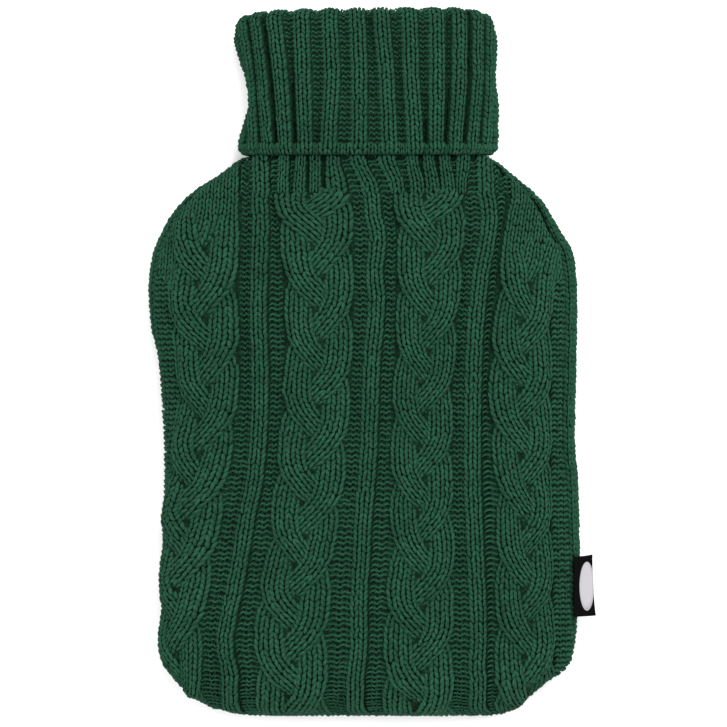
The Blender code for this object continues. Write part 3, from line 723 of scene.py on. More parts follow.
BODY_ROWS = int(up_of(YOKE_LOW) / ROW)
STRAND_WALES = 3
SQUARE_ON = 0.7           # how far a strand's rows turn square to it
SWING_SHARP = 0.45        # a strand swings out to its side this much further
STRAND_ROUND = 0.0018     # its sides lie this far under its crest
CABLE_FOOT = 0.0006       # the cables' outer sides come down to this height,
FOOT_WIDTH = 0.15         # over this share of a cable's width,
FOOT_KEEPS = 0.25         # and keep this share of what they stood above it
SEAM_SHORT = 0.0014       # the front's stitches end this far short of the seams,
SHORT_LOW, SHORT_HIGH = -0.100, -0.080   # from above the lower corners upwards
SQUEEZE = 0.2             # past there only this share of a stitch's reach is left


def strand_place(number, strand):
    """Where the stitches of one strand of a cable lie."""
    cable, strip = CABLES[number], CABLE_STRIPS[number]
    start_turns = [np.sin(strand_turn(cable, k, cable.full)) for k in range(3)]
    lane = sorted(range(3), key=lambda k: start_turns[k]).index(strand)

    def middle(up_it):
        along = along_of(up_it)
        low, high = strip_span(strip, up_it)
        turn = strand_turn(cable, strand, along)
        swing = np.sin(turn) * (1 + SWING_SHARP * np.cos(turn) ** 2)
        grown = fall(cable.full, cable.starts, along)
        share = 0.5 + grown * STRAND_SWING * swing + (1 - grown) * (lane - 1) / 3
        return low, high - low, low + share * (high - low), grown, turn

    def place(wale, row, cell):
        up_it = row * ROW
        low, width, here, grown, turn = middle(up_it)
        slope = (middle(up_it + ROW)[2] - middle(up_it - ROW)[2]) / (2 * ROW)
        half = width * (grown * STRAND_HALF + (1 - grown) / 6)
        off = wale / STRAND_WALES * 2 - 1
        lean = np.sqrt(1 + slope * slope)
        round_it = here + off * half / lean
        up_it = up_it - off * half * slope / lean * SQUARE_ON
        crest = strand_crest(turn) - STRAND_ROUND * off * off
        share = (round_it - low) / width
        foot = ease(0.0, FOOT_WIDTH, np.minimum(share, 1 - share))
        crest = CABLE_FOOT + (crest - CABLE_FOOT) * (FOOT_KEEPS + (1 - FOOT_KEEPS) * foot)
        height = grown * crest + (1 - grown) * PLAIN_RISE
        height = height * edge_fade(round_it, up_it) - YARN_BACK
        return squeezed(round_it, up_it), up_it, height

    return place


def front_ends(up_it):
    """Where the front's stitches end. Above the lower corners that is just short of the
    seams, so that each seam is a dark crease."""
    short = SEAM_SHORT * ease(SHORT_LOW, SHORT_HIGH, along_of(up_it))
    return edge_at(seam_left, up_it) + short, edge_at(seam_right, up_it) - short


def squeezed(round_it, up_it):
    """Stitches that reach over a seam are squeezed against it."""
    low, high = front_ends(up_it)
    inside = np.clip(round_it, low, high)
    return inside + SQUEEZE * (round_it - inside)


def within_front(round_it, up_it):
    """Whether squeezed stitches belong to the front."""
    low, high = front_ends(up_it)
    over = SQUEEZE * WALE / 2
    return (round_it > low - over) & (round_it < high + over)


front_stitches = []
cable_rows = [min(int(up_of(cable.starts) / ROW) + 1, BODY_ROWS) for cable in CABLES]
for number, rows in enumerate(cable_rows):
    strips = [knit_strip(knit_stitch(), STRAND_WALES, rows, strand_place(number, strand),
                         within=within_front) for strand in range(3)]
    front_stitches.append(join_strips(f"cable_{number + 1}", strips))


# ----------------------------------------------------------------------- ribs
# Between the cables stand three narrow ribs of two plain wales each, knitted in one with
# the front from its bottom edge to the yoke.

SEAM_DIP = 0.0026         # the cloth is drawn in this deep at a seam,
DIP_BAND = 0.0030         # on this much either side,
DIP_LESS = 0.8            # and less by this share at the widest lines
OVERHANG = 1.2            # stitches reach this far from a strip's middle, 1 being its edges


def seam_dip(round_it, up_it):
    """The cloth is drawn in where the side seams take it."""
    left, loop = edge_at(seam_left, up_it), edge_at(loop_length, up_it)
    to_left = np.minimum(np.abs(round_it - left), np.abs(round_it - left - loop))
    to_right = np.abs(round_it - edge_at(seam_right, up_it))
    dip = SEAM_DIP * fall(0.0, DIP_BAND, np.minimum(to_left, to_right))
    return dip * (1 - DIP_LESS * at_side(round_it, up_it))


def strip_place(low_line, high_line, wales, surface, first_row=0, on_front=True):
    """Where the stitches between two lines lie, from a row upwards."""
    def place(wale, row, cell):
        up_it = (row + first_row) * ROW
        low, high = edge_at(low_line, up_it), edge_at(high_line, up_it)
        share = wale / wales
        round_it = low + share * (high - low)
        height = surface(share, along_of(up_it)) * edge_fade(round_it, up_it) - YARN_BACK
        if on_front:
            round_it = squeezed(round_it, up_it)
        return round_it, up_it, height - seam_dip(round_it, up_it)

    return place


def off_middle(share):
    """How far from a strip's middle a place is, 1 being its edges."""
    return np.clip(np.abs(2 * share - 1), 0.0, OVERHANG)


def rounded(share, power, drop):
    """Height of a rounded strip, as a share of what it has in its middle."""
    return 1 - off_middle(share) ** power * drop


def rib_surface(share, along):
    """A rib's rounded top."""
    return RIB_RISE * rounded(share, power=3, drop=0.7)


RIB_WALES = 2
strips = [knit_strip(knit_stitch(), RIB_WALES, BODY_ROWS,
                     strip_place(strip_edges[strip], strip_edges[strip + 1], RIB_WALES,
                                 rib_surface),
                     within=within_front) for strip in RIB_STRIPS]
front_stitches.append(join_strips("ribs", strips))


# ---------------------------------------------------------------- purl ground
# The ground of the front is purl: a narrow groove on either side of each rib, and a wider
# band along each side seam. Its loops lie crosswise and deep, so it reads as dark grooves.

GROOVE_WALES = (2, 2, 2, 2, 2, 1)        # from left to right
UNDER_WALES = 1           # the purl runs on under the cables, whose edges swing in and out
SIDE_WALES = 5            # wales along each seam,
SIDE_WALE = 0.0036        # each this wide,
SIDE_FULLNESS = 1.0       # whose yarn is fuller than in the grooves
SHOULDER = 0.0750         # the side strips turn from purl to plain here, beside the cables,
SHOULDER_SLANT = 0.5      # and this much further up for each step outwards
SHOULDER_LAP = 0.003      # the plain rows are counted from this far below it,
SLANT_ROWS = 8            # and the slanting line takes up this many of them
side_first = int(up_of(SHOULDER - SHOULDER_LAP) / ROW)
side_rows = side_first + SLANT_ROWS


def purl_stitch(fullness=0.68):
    """One purl stitch in its cell: the heads of two loops, one over the stitch and one
    hanging over the join with its neighbour."""
    mesh = bmesh.new()
    mesh.loops.layers.uv.new("yarn")
    head = [(0.10 * WALE, -0.15 * ROW, -0.0014), (0.5 * WALE, 1.50 * ROW, 0.0022),
            (0.90 * WALE, -0.15 * ROW, -0.0014)]
    join = [(0.62 * WALE, 1.10 * ROW, -0.0016), (1.0 * WALE, -0.50 * ROW, 0.0018),
            (1.38 * WALE, 1.10 * ROW, -0.0016)]
    for path in (head, join):
        add_yarn(mesh, path, YARN_HALF * fullness, YARN_HALF * fullness, sides=4, bands=6)
    return mesh


def groove_surface(share, along):
    """The purl beside a rib is drawn in."""
    return -groove_depth(along) * np.sin(pi * np.clip(share, 0.0, 1.0))


def side_surface(share, along):
    """The purl along the seams lies level."""
    return np.full(np.shape(share), SIDE_RISE)


def below_shoulder(round_it, up_it):
    """Whether stitches of the side strips are purl: above a slanting line they are plain."""
    out = np.maximum(edge_at(first_cable, up_it) - round_it, round_it - edge_at(last_cable, up_it))
    return along_of(up_it) < SHOULDER + SHOULDER_SLANT * out


def within_side(round_it, up_it):
    """Whether stitches are purl ones between the seams."""
    return within_front(round_it, up_it) & below_shoulder(round_it, up_it)


strips = []
for strip, wales in zip(GROOVE_STRIPS, GROOVE_WALES):
    low_line, high_line = strip_edges[strip], strip_edges[strip + 1]
    under = UNDER_WALES / wales * (high_line - low_line)
    if strip - 1 in CABLE_STRIPS:
        low_line = low_line - under
    else:
        high_line = high_line + under
    wales += UNDER_WALES
    strips.append(knit_strip(purl_stitch(), wales, BODY_ROWS,
                             strip_place(low_line, high_line, wales, groove_surface),
                             within=within_front))
for low_line in (first_cable - SIDE_WALES * SIDE_WALE, last_cable):
    strips.append(knit_strip(purl_stitch(SIDE_FULLNESS), SIDE_WALES, side_rows,
                             strip_place(low_line, low_line + SIDE_WALES * SIDE_WALE,
                                         SIDE_WALES, side_surface),
                             within=within_side))
front_stitches.append(join_strips("purl_ground", strips))


# ------------------------------------------------------------------ shoulders
# Above the side strips and the outer cables the knitting is plain. Its wales run straight
# up and are cut off along the seams, which close in over the bottle's shoulders.

STITCH_TOP = 0.1385       # the body's stitches end here, inside the cuff
NECK_ROWS = int(up_of(STITCH_TOP) / ROW)
CABLE_WALES = 9           # wales above an outer cable,
EDGE_WALES = 6            # and outside it


def plain_surface(share, along):
    """Plain knitting lies a little above the purl."""
    return np.full(np.shape(share), PLAIN_RISE)


def within_shoulder(round_it, up_it):
    """Whether stitches are plain ones between the seams."""
    outside = ((round_it < edge_at(first_cable, up_it)) | (round_it > edge_at(last_cable, up_it)))
    return within_front(round_it, up_it) & ~(outside & below_shoulder(round_it, up_it))


left_inner = strip_edges[CABLE_STRIPS[0] + 1]
right_inner = strip_edges[CABLE_STRIPS[3]]
right_width = (last_cable - right_inner)[np.minimum(np.arange(len(body_ups)), high_row)]
strips = []
for low_line, high_line, wales, first_row in (
    (first_cable, left_inner, CABLE_WALES, cable_rows[0]),
    (first_cable - EDGE_WALES * SIDE_WALE, first_cable + SIDE_WALE, EDGE_WALES + 1, side_first),
    (right_inner, right_inner + right_width, CABLE_WALES, cable_rows[3]),
    (last_cable - SIDE_WALE, last_cable + EDGE_WALES * SIDE_WALE, EDGE_WALES + 1, side_first),
):
    rows = NECK_ROWS - first_row
    strips.append(knit_strip(knit_stitch(), wales, rows,
                             strip_place(low_line, high_line, wales, plain_surface, first_row),
                             within=within_shoulder))
front_stitches.append(join_strips("shoulders", strips))


# ----------------------------------------------------------------------- yoke
# Under the cuff the front ends in a short ribbed yoke: twelve ribs of two plain wales with
# purl between them, drawn together towards the neck. They grow out of the cables.

# Middle and width of each rib at the yoke's foot and at its top.
YOKE_RIBS = table(
    "foot foot_width top top_width",
    (-0.0497, 0.0087, -0.0500, 0.0080), (-0.0389, 0.0060, -0.0385, 0.0054),
    (-0.0311, 0.0064, -0.0304, 0.0052), (-0.0234, 0.0060, -0.0235, 0.0054),
    (-0.0133, 0.0110, -0.0150, 0.0066), (0.0026, 0.0087, -0.0032, 0.0082),
    (0.0160, 0.0076, 0.0107, 0.0090), (0.0256, 0.0072, 0.0230, 0.0063),
    (0.0330, 0.0072, 0.0310, 0.0058), (0.0404, 0.0072, 0.0388, 0.0058),
    (0.0466, 0.0054, 0.0480, 0.0068), (0.0588, 0.0087, 0.0582, 0.0080),
)
YOKE_RISE = 0.0015        # height of the yoke's ribs
YOKE_GROOVE = 0.0030      # depth of the purl between its ribs
CLOSED = 0.0027           # a groove narrower than this shows no stitches between its ribs
WIDTH_STEPS = 30          # its width is taken over this many steps at its top


def yoke_line(foot, top):
    """A line up the yoke from its foot to its top."""
    x = foot + (top - foot) * ease(YOKE_LOW, YOKE_HIGH, body_alongs)
    return body.length_across(x[:, None])[:, 0]


def yoke_surface(share, along):
    """A yoke rib's rounded top."""
    return YOKE_RISE * rounded(share, power=2, drop=0.9)


def yoke_groove(share, along):
    """The purl between the yoke's ribs folds in deep."""
    return -YOKE_GROOVE * (1 - np.abs(2 * share - 1))


yoke_edges = [left_inner]
for rib in YOKE_RIBS:
    for side in (-0.5, 0.5):
        yoke_edges.append(yoke_line(rib.foot + side * rib.foot_width,
                                    rib.top + side * rib.top_width))
yoke_edges.append(right_inner)
strips = []
rows = NECK_ROWS - BODY_ROWS
for number in range(len(yoke_edges) - 1):
    low_line, high_line = yoke_edges[number:number + 2]
    wales = RIB_WALES
    stitch, surface = knit_stitch, yoke_surface
    if number % 2 == 0:
        width = np.median((high_line - low_line)[-WIDTH_STEPS:])
        if width < CLOSED:
            continue
        wales = max(1, round(width / WALE))
        stitch, surface = purl_stitch, yoke_groove
    strips.append(knit_strip(stitch(), wales, rows,
                             strip_place(low_line, high_line, wales, surface, BODY_ROWS),
                             within=within_front))
front_stitches.append(join_strips("yoke", strips))
for piece in front_stitches:
    piece.data.transform(Matrix.Translation((0.0, 0.0, SEAM_GAP)))


# ----------------------------------------------------------------------- back
# The back is plain knitting. It wraps round the right-hand side as far as the seam, lies
# flat on the surface underneath and is drawn in to the neck at the top.

BACK_INSET = 0.0013       # the sheet behind its stitches lies this far under them


def back_sheet(across, along):
    """Corners of the back's sheet, evenly spaced from seam to seam."""
    up_it = along * body_ups[-1]
    low, high = edge_at(seam_right, up_it), edge_at(seam_left + loop_length, up_it)
    round_it = low + (high - low) * across
    to_seam = np.minimum(round_it - low, high - round_it)
    return body.lay(round_it, up_it, -sheet_inset(BACK_INSET, to_seam, round_it, up_it))


back_cloth = make_sheet("back_cloth", 44, 60, back_sheet, SHEET)
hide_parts("back_panel")

BACK_LEVEL = -0.0002      # height of the back's surface
BACK_HALF = 30            # wales from the middle of the back to beyond its seams
SELVEDGE_WALES = 2        # wales that run along each seam,
SELVEDGE_FIRST = 0.0030   # beginning this far along it
SELVEDGE_LAP = 0.0018     # round the lower corners they reach this far past it,
SELVEDGE_SHY = 0.0006     # and above them they end this far short of it
CHAIN_WALE = 0.0034       # width of the wale along the bottom edge
back_middle = body.length_at(pi)
back_left = seam_left + loop_length
selvedge = SELVEDGE_WALES * SIDE_WALE


def back_surface(share, along):
    """The back's plain knitting lies level with the ground of the front."""
    return np.full(np.shape(share), BACK_LEVEL)


def within_back(round_it, up_it):
    """Whether stitches lie between the selvedges."""
    return ((round_it > edge_at(seam_right, up_it) + selvedge)
            & (round_it < edge_at(back_left, up_it) - selvedge))


def back_strip(low_line):
    """Half of the back's knitting, from a line towards the left."""
    return knit_strip(knit_stitch(4, 3), BACK_HALF, NECK_ROWS,
                      strip_place(low_line, low_line + BACK_HALF * WALE, BACK_HALF, back_surface,
                                  on_front=False),
                      within=within_back)


def selvedge_strip(seam, inwards):
    """Two wales that run along a seam, their rows spaced by the seam's own length."""
    edge = body.lay(seam, body_ups, np.zeros(len(seam)))
    steps = np.linalg.norm(np.diff(edge, axis=0), axis=1)
    run = np.concatenate(((0.0,), steps.cumsum()))
    rows = int(np.interp(NECK_ROWS * ROW, body_ups, run) / ROW)

    def place(wale, row, cell):
        up_it = np.interp(row * ROW + SELVEDGE_FIRST, run, body_ups)
        above = ease(STRAIGHT_LOW, CORNER_HIGH, along_of(up_it))
        lap = SELVEDGE_LAP - (SELVEDGE_LAP + SELVEDGE_SHY) * above
        round_it = edge_at(seam, up_it) + inwards * (wale * SIDE_WALE - lap)
        return round_it, up_it, BACK_LEVEL - YARN_BACK - seam_dip(round_it, up_it)

    return knit_strip(knit_stitch(), SELVEDGE_WALES, rows, place)


def closing_chain():
    """One wale along the bottom edge, where the front and the back are joined."""
    first, last = seam_left[0], seam_right[0]
    rows = int((last - first) / ROW)

    def place(wale, row, cell):
        up_it = (wale - 0.5) * CHAIN_WALE
        round_it = first + ROW + row / rows * (last - first - 2 * ROW)
        behind = 2 * edge_at(widest_right, np.abs(up_it)) - round_it
        return (np.where(up_it < 0, behind, round_it), np.abs(up_it),
                -YARN_BACK - np.zeros(wale.shape))

    return knit_strip(knit_stitch(), 1, rows, place)


back_stitches = [
    join_strips(name, [back_strip(low_line)])
    for name, low_line in (("back_knitting_right", back_middle - BACK_HALF * WALE),
                           ("back_knitting_left", back_middle))
]
strips = [selvedge_strip(seam_right, 1), selvedge_strip(back_left, -1), closing_chain()]
back_stitches.append(join_strips("selvedges", strips))


# --------------------------------------------------------------------- collar
# The roll neck is one tube of two-and-two rib, turned down once into a deep cuff. This
# sheet is its cloth, coloured in painted shade: up the inside, over the fold and down to the hem.

CUFF_TOP = 0.2072         # place of the fold along the cover,
CUFF_MIDDLE = 0.1727      # of a line half-way up the cuff,
CUFF_HEM = 0.1355         # and of the hem
CUFF_CLOTH = 0.0040       # thickness of the cuff, with its ribs
TUBE_CLOTH = 0.0034       # thickness of the tube inside it,
TUBE_GAP = 0.0006         # and the space between them
CUFF_SHEET = 0.0006       # thickness of the sheet that stands behind the stitches,
CUFF_INSET = 0.0017       # which lies this far under them,
FOLD_INSET = 0.0010       # or this far over the fold,
CUFF_UNDER = 0.0005       # and this much further in the grooves
CUFF_RIB = 0.0086         # width of a rib, or if it has less room,
RIB_SHARE = 0.38          # this share of the pitch on either side of its middle
CUFF_GROOVE = 0.0028      # the purl between its ribs lies this far under them,
CUFF_PINCH = 0.0016       # and this much deeper where the ribs close in on it,
PINCH_BAND = (0.0028, 0.0052)   # between these widths of the groove
WELT = 0.0050             # depth of the plain welt at the hem,
WELT_EASE = 0.0030        # above which the rib begins over this length
FOLD_RELIEF = 0.3         # share of the rib's relief that is lost over the fold,
INSIDE_RELIEF = 0.42      # and half the share that is lost inside
TUBE_INSIDE = CUFF_CLOTH + TUBE_GAP + TUBE_CLOTH   # from the cuff's face to the tube's inside
FOLD = TUBE_INSIDE / 2    # radius of the fold
FOLD_NEAR = 0.0250        # its corners and its tilt show from this far under it
CORNER_DROP = 0.0026      # the fold's corners lie this far under its middle
FOLD_DROP = 0.0009        # its middle lies this far under the highest place,
FOLD_TILT = 0.0008        # as the fold rises towards the right
CUFF_SHOULDER = CUFF_TOP - FOLD          # where the cuff begins to fold over
BACK_RIBS = 12            # ribs on the cuff's back
CUFF_EDGES = table(
    "along left right",
    (0.1355, -0.0590, 0.0619), (0.1385, -0.0598, 0.0632), (0.1410, -0.0604, 0.0644),
    (0.1494, -0.0585, 0.0645), (0.1610, -0.0558, 0.0647), (0.1727, -0.0571, 0.0635),
    (0.1870, -0.0612, 0.0643), (0.1945, -0.0625, 0.0642), (0.2000, -0.0620, 0.0632),
    (0.2072, -0.0610, 0.0600),
)
CUFF_LEVELS = table(
    "along low rim top",
    (0.1355, 0.0, 0.0195, 0.0402), (0.1600, 0.0, 0.0190, 0.0404),
    (0.1900, 0.0, 0.0185, 0.0390), (0.2072, 0.0, 0.0180, 0.0370),
)
# Middles of the ribs on the cuff's front at its hem, half-way up and on its fold.
CUFF_RIBS = (
    (-0.0538, -0.0555, -0.0600), (-0.0475, -0.0507, -0.0550), (-0.0378, -0.0407, -0.0444),
    (-0.0289, -0.0296, -0.0308), (-0.0177, -0.0155, -0.0170), (-0.0027, -0.0022, -0.0036),
    (0.0124, 0.0109, 0.0080), (0.0252, 0.0228, 0.0218), (0.0352, 0.0354, 0.0352),
    (0.0441, 0.0466, 0.0470), (0.0531, 0.0565, 0.0563), (0.0595, 0.0615, 0.0618),
)

CUFF_STEP = 0.0008        # spacing of the cloth's rows of points
TUBE_END = NECK_TOP + SEAM_GAP           # lower edge of the tube
face_length = CUFF_SHOULDER - CUFF_HEM
fold_length = pi * FOLD
cuff_ups = np.arange(0.0, face_length + fold_length + CUFF_SHOULDER - TUBE_END, CUFF_STEP)
over = np.clip((cuff_ups - face_length) / fold_length, 0.0, 1.0) * pi
down = np.maximum(cuff_ups - face_length - fold_length, 0.0)
cuff_sections = np.minimum(CUFF_HEM + cuff_ups, CUFF_SHOULDER)
cuff_alongs = cuff_sections + FOLD * np.sin(over) - down
cuff_sections = cuff_sections - down
cuff_insets = FOLD * (1 - np.cos(over))
cuff_low, cuff_rim, cuff_top = (read(CUFF_LEVELS, name, cuff_sections)
                                for name in ("low", "rim", "top"))


def cuff_side(insets):
    """The cuff's surface, pushed in by an inset at each row, with its top corners rounded."""
    side = Side(
        CUFF_STEP,
        cuff_alongs,
        read(CUFF_EDGES, "left", cuff_sections) + insets,
        read(CUFF_EDGES, "right", cuff_sections) - insets,
        cuff_low - BACK_SAG + insets,
        cuff_rim,
        cuff_top - insets,
        cuff_low + insets,
    )
    off = (side.points[..., 0] - side.centre) / side.half
    near_top = ease(CUFF_TOP - FOLD_NEAR, CUFF_TOP, side.points[..., 1])
    side.points[..., 1] -= CORNER_DROP * np.clip(np.abs(off), 0.0, 1.0) ** 8 * near_top
    side.points[..., 1] -= (FOLD_DROP - FOLD_TILT * off) * near_top
    return side


cuff = cuff_side(cuff_insets)
outer = cuff_side(np.zeros(len(cuff_ups)))

rib_middles = []
for rib in CUFF_RIBS:
    x = np.interp(cuff_sections, (CUFF_HEM, CUFF_MIDDLE, CUFF_TOP), rib)
    rib_middles.append(outer.length_across(x[:, None])[:, 0])
outer_loop = outer.lengths[:, LOOP_START]
back_pitch = (rib_middles[0] + outer_loop - rib_middles[-1]) / (BACK_RIBS + 1)
rib_middles += [rib_middles[len(CUFF_RIBS) - 1] + back_pitch * (i + 1) for i in range(BACK_RIBS)]
RIBS = len(rib_middles)
rib_middles = [rib_middles[-1] - outer_loop] + rib_middles + [rib_middles[0] + outer_loop]

# The ribs' edges round the cuff: first on its outside, then on the rows' own loops, which
# are smaller over the fold and inside it.
cuff_lines = []
for before, here, after in zip(rib_middles, rib_middles[1:], rib_middles[2:]):
    cuff_lines.append(here - np.minimum(CUFF_RIB / 2, RIB_SHARE * (here - before)))
    cuff_lines.append(here + np.minimum(CUFF_RIB / 2, RIB_SHARE * (after - here)))
cuff_lines = [
    np.array([np.interp(np.interp(length, outer.lengths[row], TURNS), TURNS, cuff.lengths[row])
              for row, length in enumerate(line)])
    for line in cuff_lines
]
cuff_lines.append(cuff_lines[0] + cuff.lengths[:, LOOP_START])
cuff_lines = np.array(cuff_lines)


def cuff_round(stop, up_it):
    """Length round the cuff at a stop, 0 being the first rib's edge, 1 its other edge,
    2 the second rib's and so on, with parts of them between."""
    low = np.clip(stop.astype(int), 0, len(cuff_lines) - 2)
    row = np.clip(up_it / CUFF_STEP, 0.0, len(cuff_ups) - 1.001)
    near = row.astype(int)
    share, part = row - near, stop - low

    def at(line):
        return cuff_lines[line, near] * (1 - share) + cuff_lines[line, near + 1] * share

    return at(low) * (1 - part) + at(low + 1) * part


def fold_turn(up_it):
    """How far over the fold a place is: 0 on the cuff, pi inside the neck."""
    return np.clip((up_it - face_length) / fold_length, 0.0, 1.0) * pi


def cuff_relief(up_it):
    """How strongly the rib shows: less over the fold, and not at the cast-off hem."""
    turn = fold_turn(up_it)
    left = 1 - FOLD_RELIEF * np.sin(turn) - INSIDE_RELIEF * (1 - np.cos(turn))
    return left * ease(WELT - WELT_EASE, WELT, up_it)


def groove_width(groove, up_it):
    """Width of a groove of the cuff, numbered by the stop at its first edge."""
    return cuff_round(groove + 1, up_it) - cuff_round(groove, up_it)


def pinch(groove, up_it):
    """How much deeper a groove of the cuff is where its ribs close in on it."""
    return CUFF_PINCH * fall(*PINCH_BAND, groove_width(groove, up_it))


def collar_sheet(across, along):
    """Corners of the collar's sheet, evenly spaced over each rib and each groove."""
    up_it = along * cuff_ups[-1]
    stop = across * 2 * RIBS
    in_groove = np.where(stop % 2 > 1, np.sin(pi * (stop % 1)), 0.0)
    inset = CUFF_INSET - (CUFF_INSET - FOLD_INSET) * np.sin(fold_turn(up_it))
    depth = CUFF_GROOVE + CUFF_UNDER + pinch(np.floor(stop / 2) * 2 + 1, up_it)
    height = -inset - depth * in_groove * cuff_relief(up_it)
    return cuff.lay(cuff_round(stop, up_it), up_it, height)


collar_cloth = make_sheet("collar_cloth", 8 * RIBS, 48, collar_sheet, CUFF_SHEET,
                          closed=True)
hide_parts("rib_collar")


# ---------------------------------------------------------------- collar ribs
# Twenty-four ribs of two plain wales run up the cuff, over the fold and down inside, with
# two wales of purl drawn in between each pair.

CUFF_ROW = 0.0025         # height of a stitch
TUBE_SEEN = 0.012         # how far down the inside of the neck the stitches are made
WELT_ROWS = 2             # rows of the welt, under the ribs
RIBS_FROM = 1.6           # row on which the ribs begin, above the welt
CUFF_RIB_TOP = 0.0005     # height of a rib's middle,
CUFF_RIB_DROP = 0.0023    # and how far its sides lie under it
CUFF_PURL_TOP = -0.0009   # height of the purl beside it
PINCH_SIDE = 0.7          # share of a groove's pinch that its sides take part in
CUFF_SIDE = 0.0075        # reach of the cuff's sides from its widest lines
rib_rows = int((face_length + fold_length + TUBE_SEEN) / CUFF_ROW) - WELT_ROWS


def cuff_place(parity, surface):
    """Where the stitches of the ribs lie, or with parity 1 those between them."""
    def place(wale, row, cell):
        up_it = (row + RIBS_FROM) * CUFF_ROW
        share = (wale - cell // 2 * 2) / 2
        round_it = cuff_round(cell // 2 * 2 + parity + share, up_it)
        height = surface(share, pinch(cell // 2 * 2 + parity, up_it))
        return round_it, up_it, height * cuff_relief(up_it) - YARN_BACK

    return place


def cuff_rib_surface(share, deeper):
    """A cuff rib's rounded top."""
    return CUFF_RIB_TOP - CUFF_RIB_DROP * off_middle(share) ** 2.5


def cuff_groove_surface(share, deeper):
    """The purl between the ribs, deepest in its middle."""
    middle = 1 - (2 * share - 1) ** 2
    return (CUFF_PURL_TOP - PINCH_SIDE * deeper
            - (CUFF_GROOVE + (1 - PINCH_SIDE) * deeper) * middle)


def within_open_groove(round_it, up_it):
    """Whether purl stitches show: not in a groove that has closed, unless it is at the
    cuff's widest lines, where one sees past it."""
    shows = groove_width(np.arange(2 * RIBS) // 2 * 2 + 1, up_it) > CLOSED
    for turn in (-pi / 2, pi / 2, 3 * pi / 2):
        widest = np.interp(up_it, cuff_ups, cuff.length_at(turn))
        shows |= np.abs(round_it - widest) < CUFF_SIDE
    return shows


for name, stitch, parity, surface, within in (
    ("collar_ribs", knit_stitch(), 0, cuff_rib_surface, None),
    ("collar_purl", purl_stitch(), 1, cuff_groove_surface, within_open_groove),
):
    laid = knit_strip(stitch, 2 * RIBS, rib_rows, cuff_place(parity, surface), cuff, within)
    join_strips(name, [laid])


# ----------------------------------------------------------------------- welt
# The hem of the cuff: the last rows are plain all round and are cast off, so the rib
# spreads into an even edge that rolls in slightly.

WELT_SCALLOP = 0.0006     # its edge rises this much between the ribs
WELT_LEVEL = 0.0003       # height of its surface,
WELT_ROLL = 0.0024        # which rolls in this far at its edge,
ROLL_ROWS = 1.3           # over this many rows
WELT_WALES = 4 * RIBS


def welt_place(wale, row, cell):
    """Where the welt's stitches lie, evenly from rib to rib."""
    up_it = row * CUFF_ROW + WELT_SCALLOP * (1 - np.cos(pi * (wale - 1))) / 2
    roll = WELT_ROLL * (1 - np.clip(row / ROLL_ROWS, 0.0, 1.0)) ** 2
    return cuff_round(wale / 2, up_it), up_it, WELT_LEVEL - roll


laid = knit_strip(knit_stitch(), WELT_WALES, WELT_ROWS, welt_place, side=cuff)
join_strips("collar_welt", [laid])


# ------------------------------------------------------------------ side label
# A small black tab of woven tape, folded double and caught in the right seam. It carries
# one plain pale oval, woven in, and no lettering.

TAB_LENGTH = 0.0290       # along the seam
TAB_REACH = 0.0098        # out of the seam in the middle; it stands out further at its foot
TAB_SKEW = 0.0016         # by this much from end to end
TAB_BOW = 0.0009          # its edges along the seam bow this much
TAB_CLOTH = 0.0011        # two layers of tape
TAB_MIDDLE = -0.0727      # place of its middle along the cover
TAB_DROOP = radians(14.0)
TAB_CURL = 0.0012         # its far corners curl up this far
TAB_CLEAR = 0.0008        # gap between it and the knitting
OVAL_MIDDLE = 0.0064      # out of the seam
OVAL_HALF_WIDE = 0.0037
OVAL_HALF_LONG = 0.0118
OVAL_RISE = 0.00025       # it stands this far over the tape,
OVAL_THREAD = 0.0002      # and is this thick


def tape_finish(name, colour):
    """Woven polyester tape: fine even threads with a slight shine."""
    material, tree, shader = new_material(name, roughness=0.62, specular=0.02)
    place = add_node(tree, "ShaderNodeTexCoord").outputs["Object"]
    threads = add_texture(tree, "ShaderNodeTexWave", place, wave_type="BANDS",
                          bands_direction="Y", Scale=900.0, Distortion=1.5)
    mix_tones(tree, shader, threads.outputs["Fac"], [c * 0.7 for c in colour], colour)
    add_bump(tree, shader, threads.outputs["Fac"], distance=0.0001, strength=0.5)
    return material


tape_black = tape_finish("tape_black", (0.0020, 0.0023, 0.0021))
tape_pale = tape_finish("tape_pale", (0.38, 0.365, 0.39))
tab_row = int(round(up_of(TAB_MIDDLE) / BODY_STEP))
tab_root = body.lay(seam_right[tab_row], body_ups[tab_row], np.array(0.0))
tab_place = (Matrix.Translation(Vector(tab_root) + Vector((TAB_CLEAR, 0.0, TAB_CLEAR)))
             @ Matrix.Rotation(TAB_DROOP, 4, "Y"))


def tape_height(out, along_tab):
    """The tape's slight curl, more at its far corners."""
    return TAB_CURL * (out / TAB_REACH) ** 2 * (2 * along_tab / TAB_LENGTH) ** 4


mesh = bmesh.new()
bmesh.ops.create_grid(mesh, x_segments=12, y_segments=30, size=0.5)
for corner in mesh.verts:
    out, along_tab = corner.co.x + 0.5, corner.co.y * TAB_LENGTH
    reach = TAB_REACH - TAB_SKEW * corner.co.y
    corner.co = (out * reach, along_tab + TAB_BOW * (out - 0.5) * (out + 0.3),
                 TAB_CLOTH + tape_height(out * reach, along_tab))
bmesh.ops.transform(mesh, matrix=tab_place, verts=mesh.verts)
label_tape = finish_piece("label_tape", mesh, tape_black)
thicken(label_tape, TAB_CLOTH)
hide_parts("side_label")

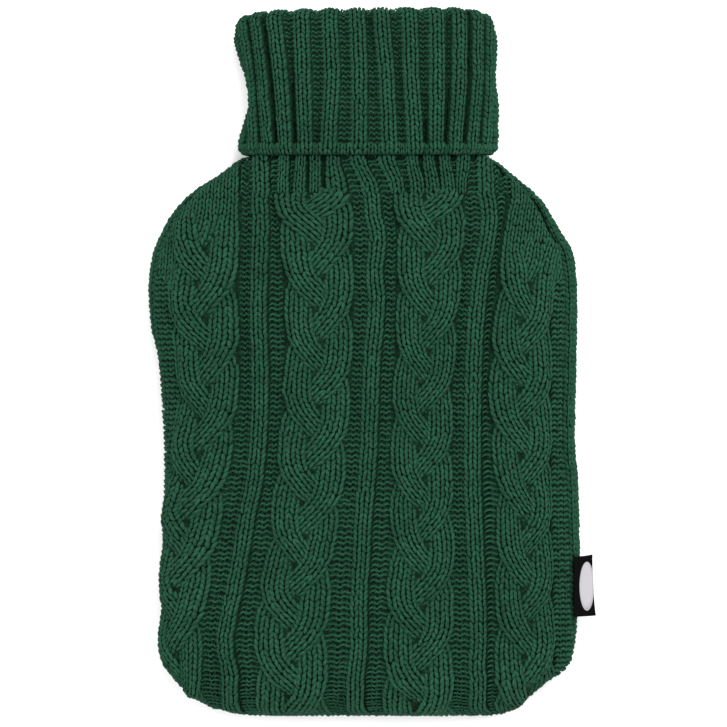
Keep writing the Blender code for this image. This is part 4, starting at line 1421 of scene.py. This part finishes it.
mesh = bmesh.new()
bmesh.ops.create_circle(mesh, cap_ends=True, cap_tris=True, segments=48, radius=1.0)
bmesh.ops.subdivide_edges(mesh, edges=mesh.edges, cuts=2, use_grid_fill=True)
for corner in mesh.verts:
    out = min(OVAL_MIDDLE + corner.co.x * OVAL_HALF_WIDE,
              TAB_REACH - TAB_SKEW * corner.co.y * OVAL_HALF_LONG / TAB_LENGTH)
    along_tab = corner.co.y * OVAL_HALF_LONG
    corner.co = (out, along_tab, TAB_CLOTH + OVAL_RISE + tape_height(out, along_tab))
bmesh.ops.transform(mesh, matrix=tab_place, verts=mesh.verts)
label_oval = finish_piece("label_oval", mesh, tape_pale)
thicken(label_oval, OVAL_THREAD)


# ------------------------------------------------------- floor, light, camera
# A plain pale floor, one broad soft light overhead and the camera straight above.

PHOTO_WIDTH = 0.3526      # metres across the picture at the cover's widest line
WIDEST = 0.0175           # height of that line
CAMERA_PLACE = (-0.00024, 0.0352, 2.0)
SENSOR = 36.0             # millimetres
FLOOR_HALF = 4.0
SKY = 0.95                # strength of the even light all round

mesh = bmesh.new()
bmesh.ops.create_grid(mesh, x_segments=1, y_segments=1, size=FLOOR_HALF)
data = bpy.data.meshes.new("floor")
mesh.to_mesh(data)
mesh.free()
floor_white, _, shader = new_material("floor_white", roughness=0.9, specular=0.5)
shader.inputs["Base Color"].default_value = (0.92, 0.92, 0.92, 1.0)
data.materials.append(floor_white)
floor = bpy.data.objects.new("floor", data)
bpy.context.scene.collection.objects.link(floor)

world = bpy.data.worlds.new("studio")
bpy.context.scene.world = world
world.use_nodes = True
sky = world.node_tree.nodes["Background"]
sky.inputs["Color"].default_value = (1.0, 1.0, 1.0, 1.0)
sky.inputs["Strength"].default_value = SKY

Lamp = namedtuple("Lamp", "name place size watts")
for lamp in (
    Lamp("key", (0.40, 0.50, 1.3), 1.0, 25.0),
    Lamp("fill", (-0.7, -0.3, 1.2), 1.0, 10.0),
):
    light = bpy.data.lights.new(lamp.name, "AREA")
    light.energy = lamp.watts
    light.size = lamp.size
    holder = bpy.data.objects.new(lamp.name, light)
    bpy.context.scene.collection.objects.link(holder)
    holder.location = lamp.place
    holder.rotation_euler = (-Vector(lamp.place)).to_track_quat("-Z", "Y").to_euler()

lens = bpy.data.cameras.new("camera")
lens.sensor_width = SENSOR
lens.lens = SENSOR * (CAMERA_PLACE[2] - WIDEST) / PHOTO_WIDTH
camera = bpy.data.objects.new("camera", lens)
bpy.context.scene.collection.objects.link(camera)
camera.location = CAMERA_PLACE
bpy.context.scene.camera = camera
bpy.context.scene.view_settings.view_transform = "Standard"
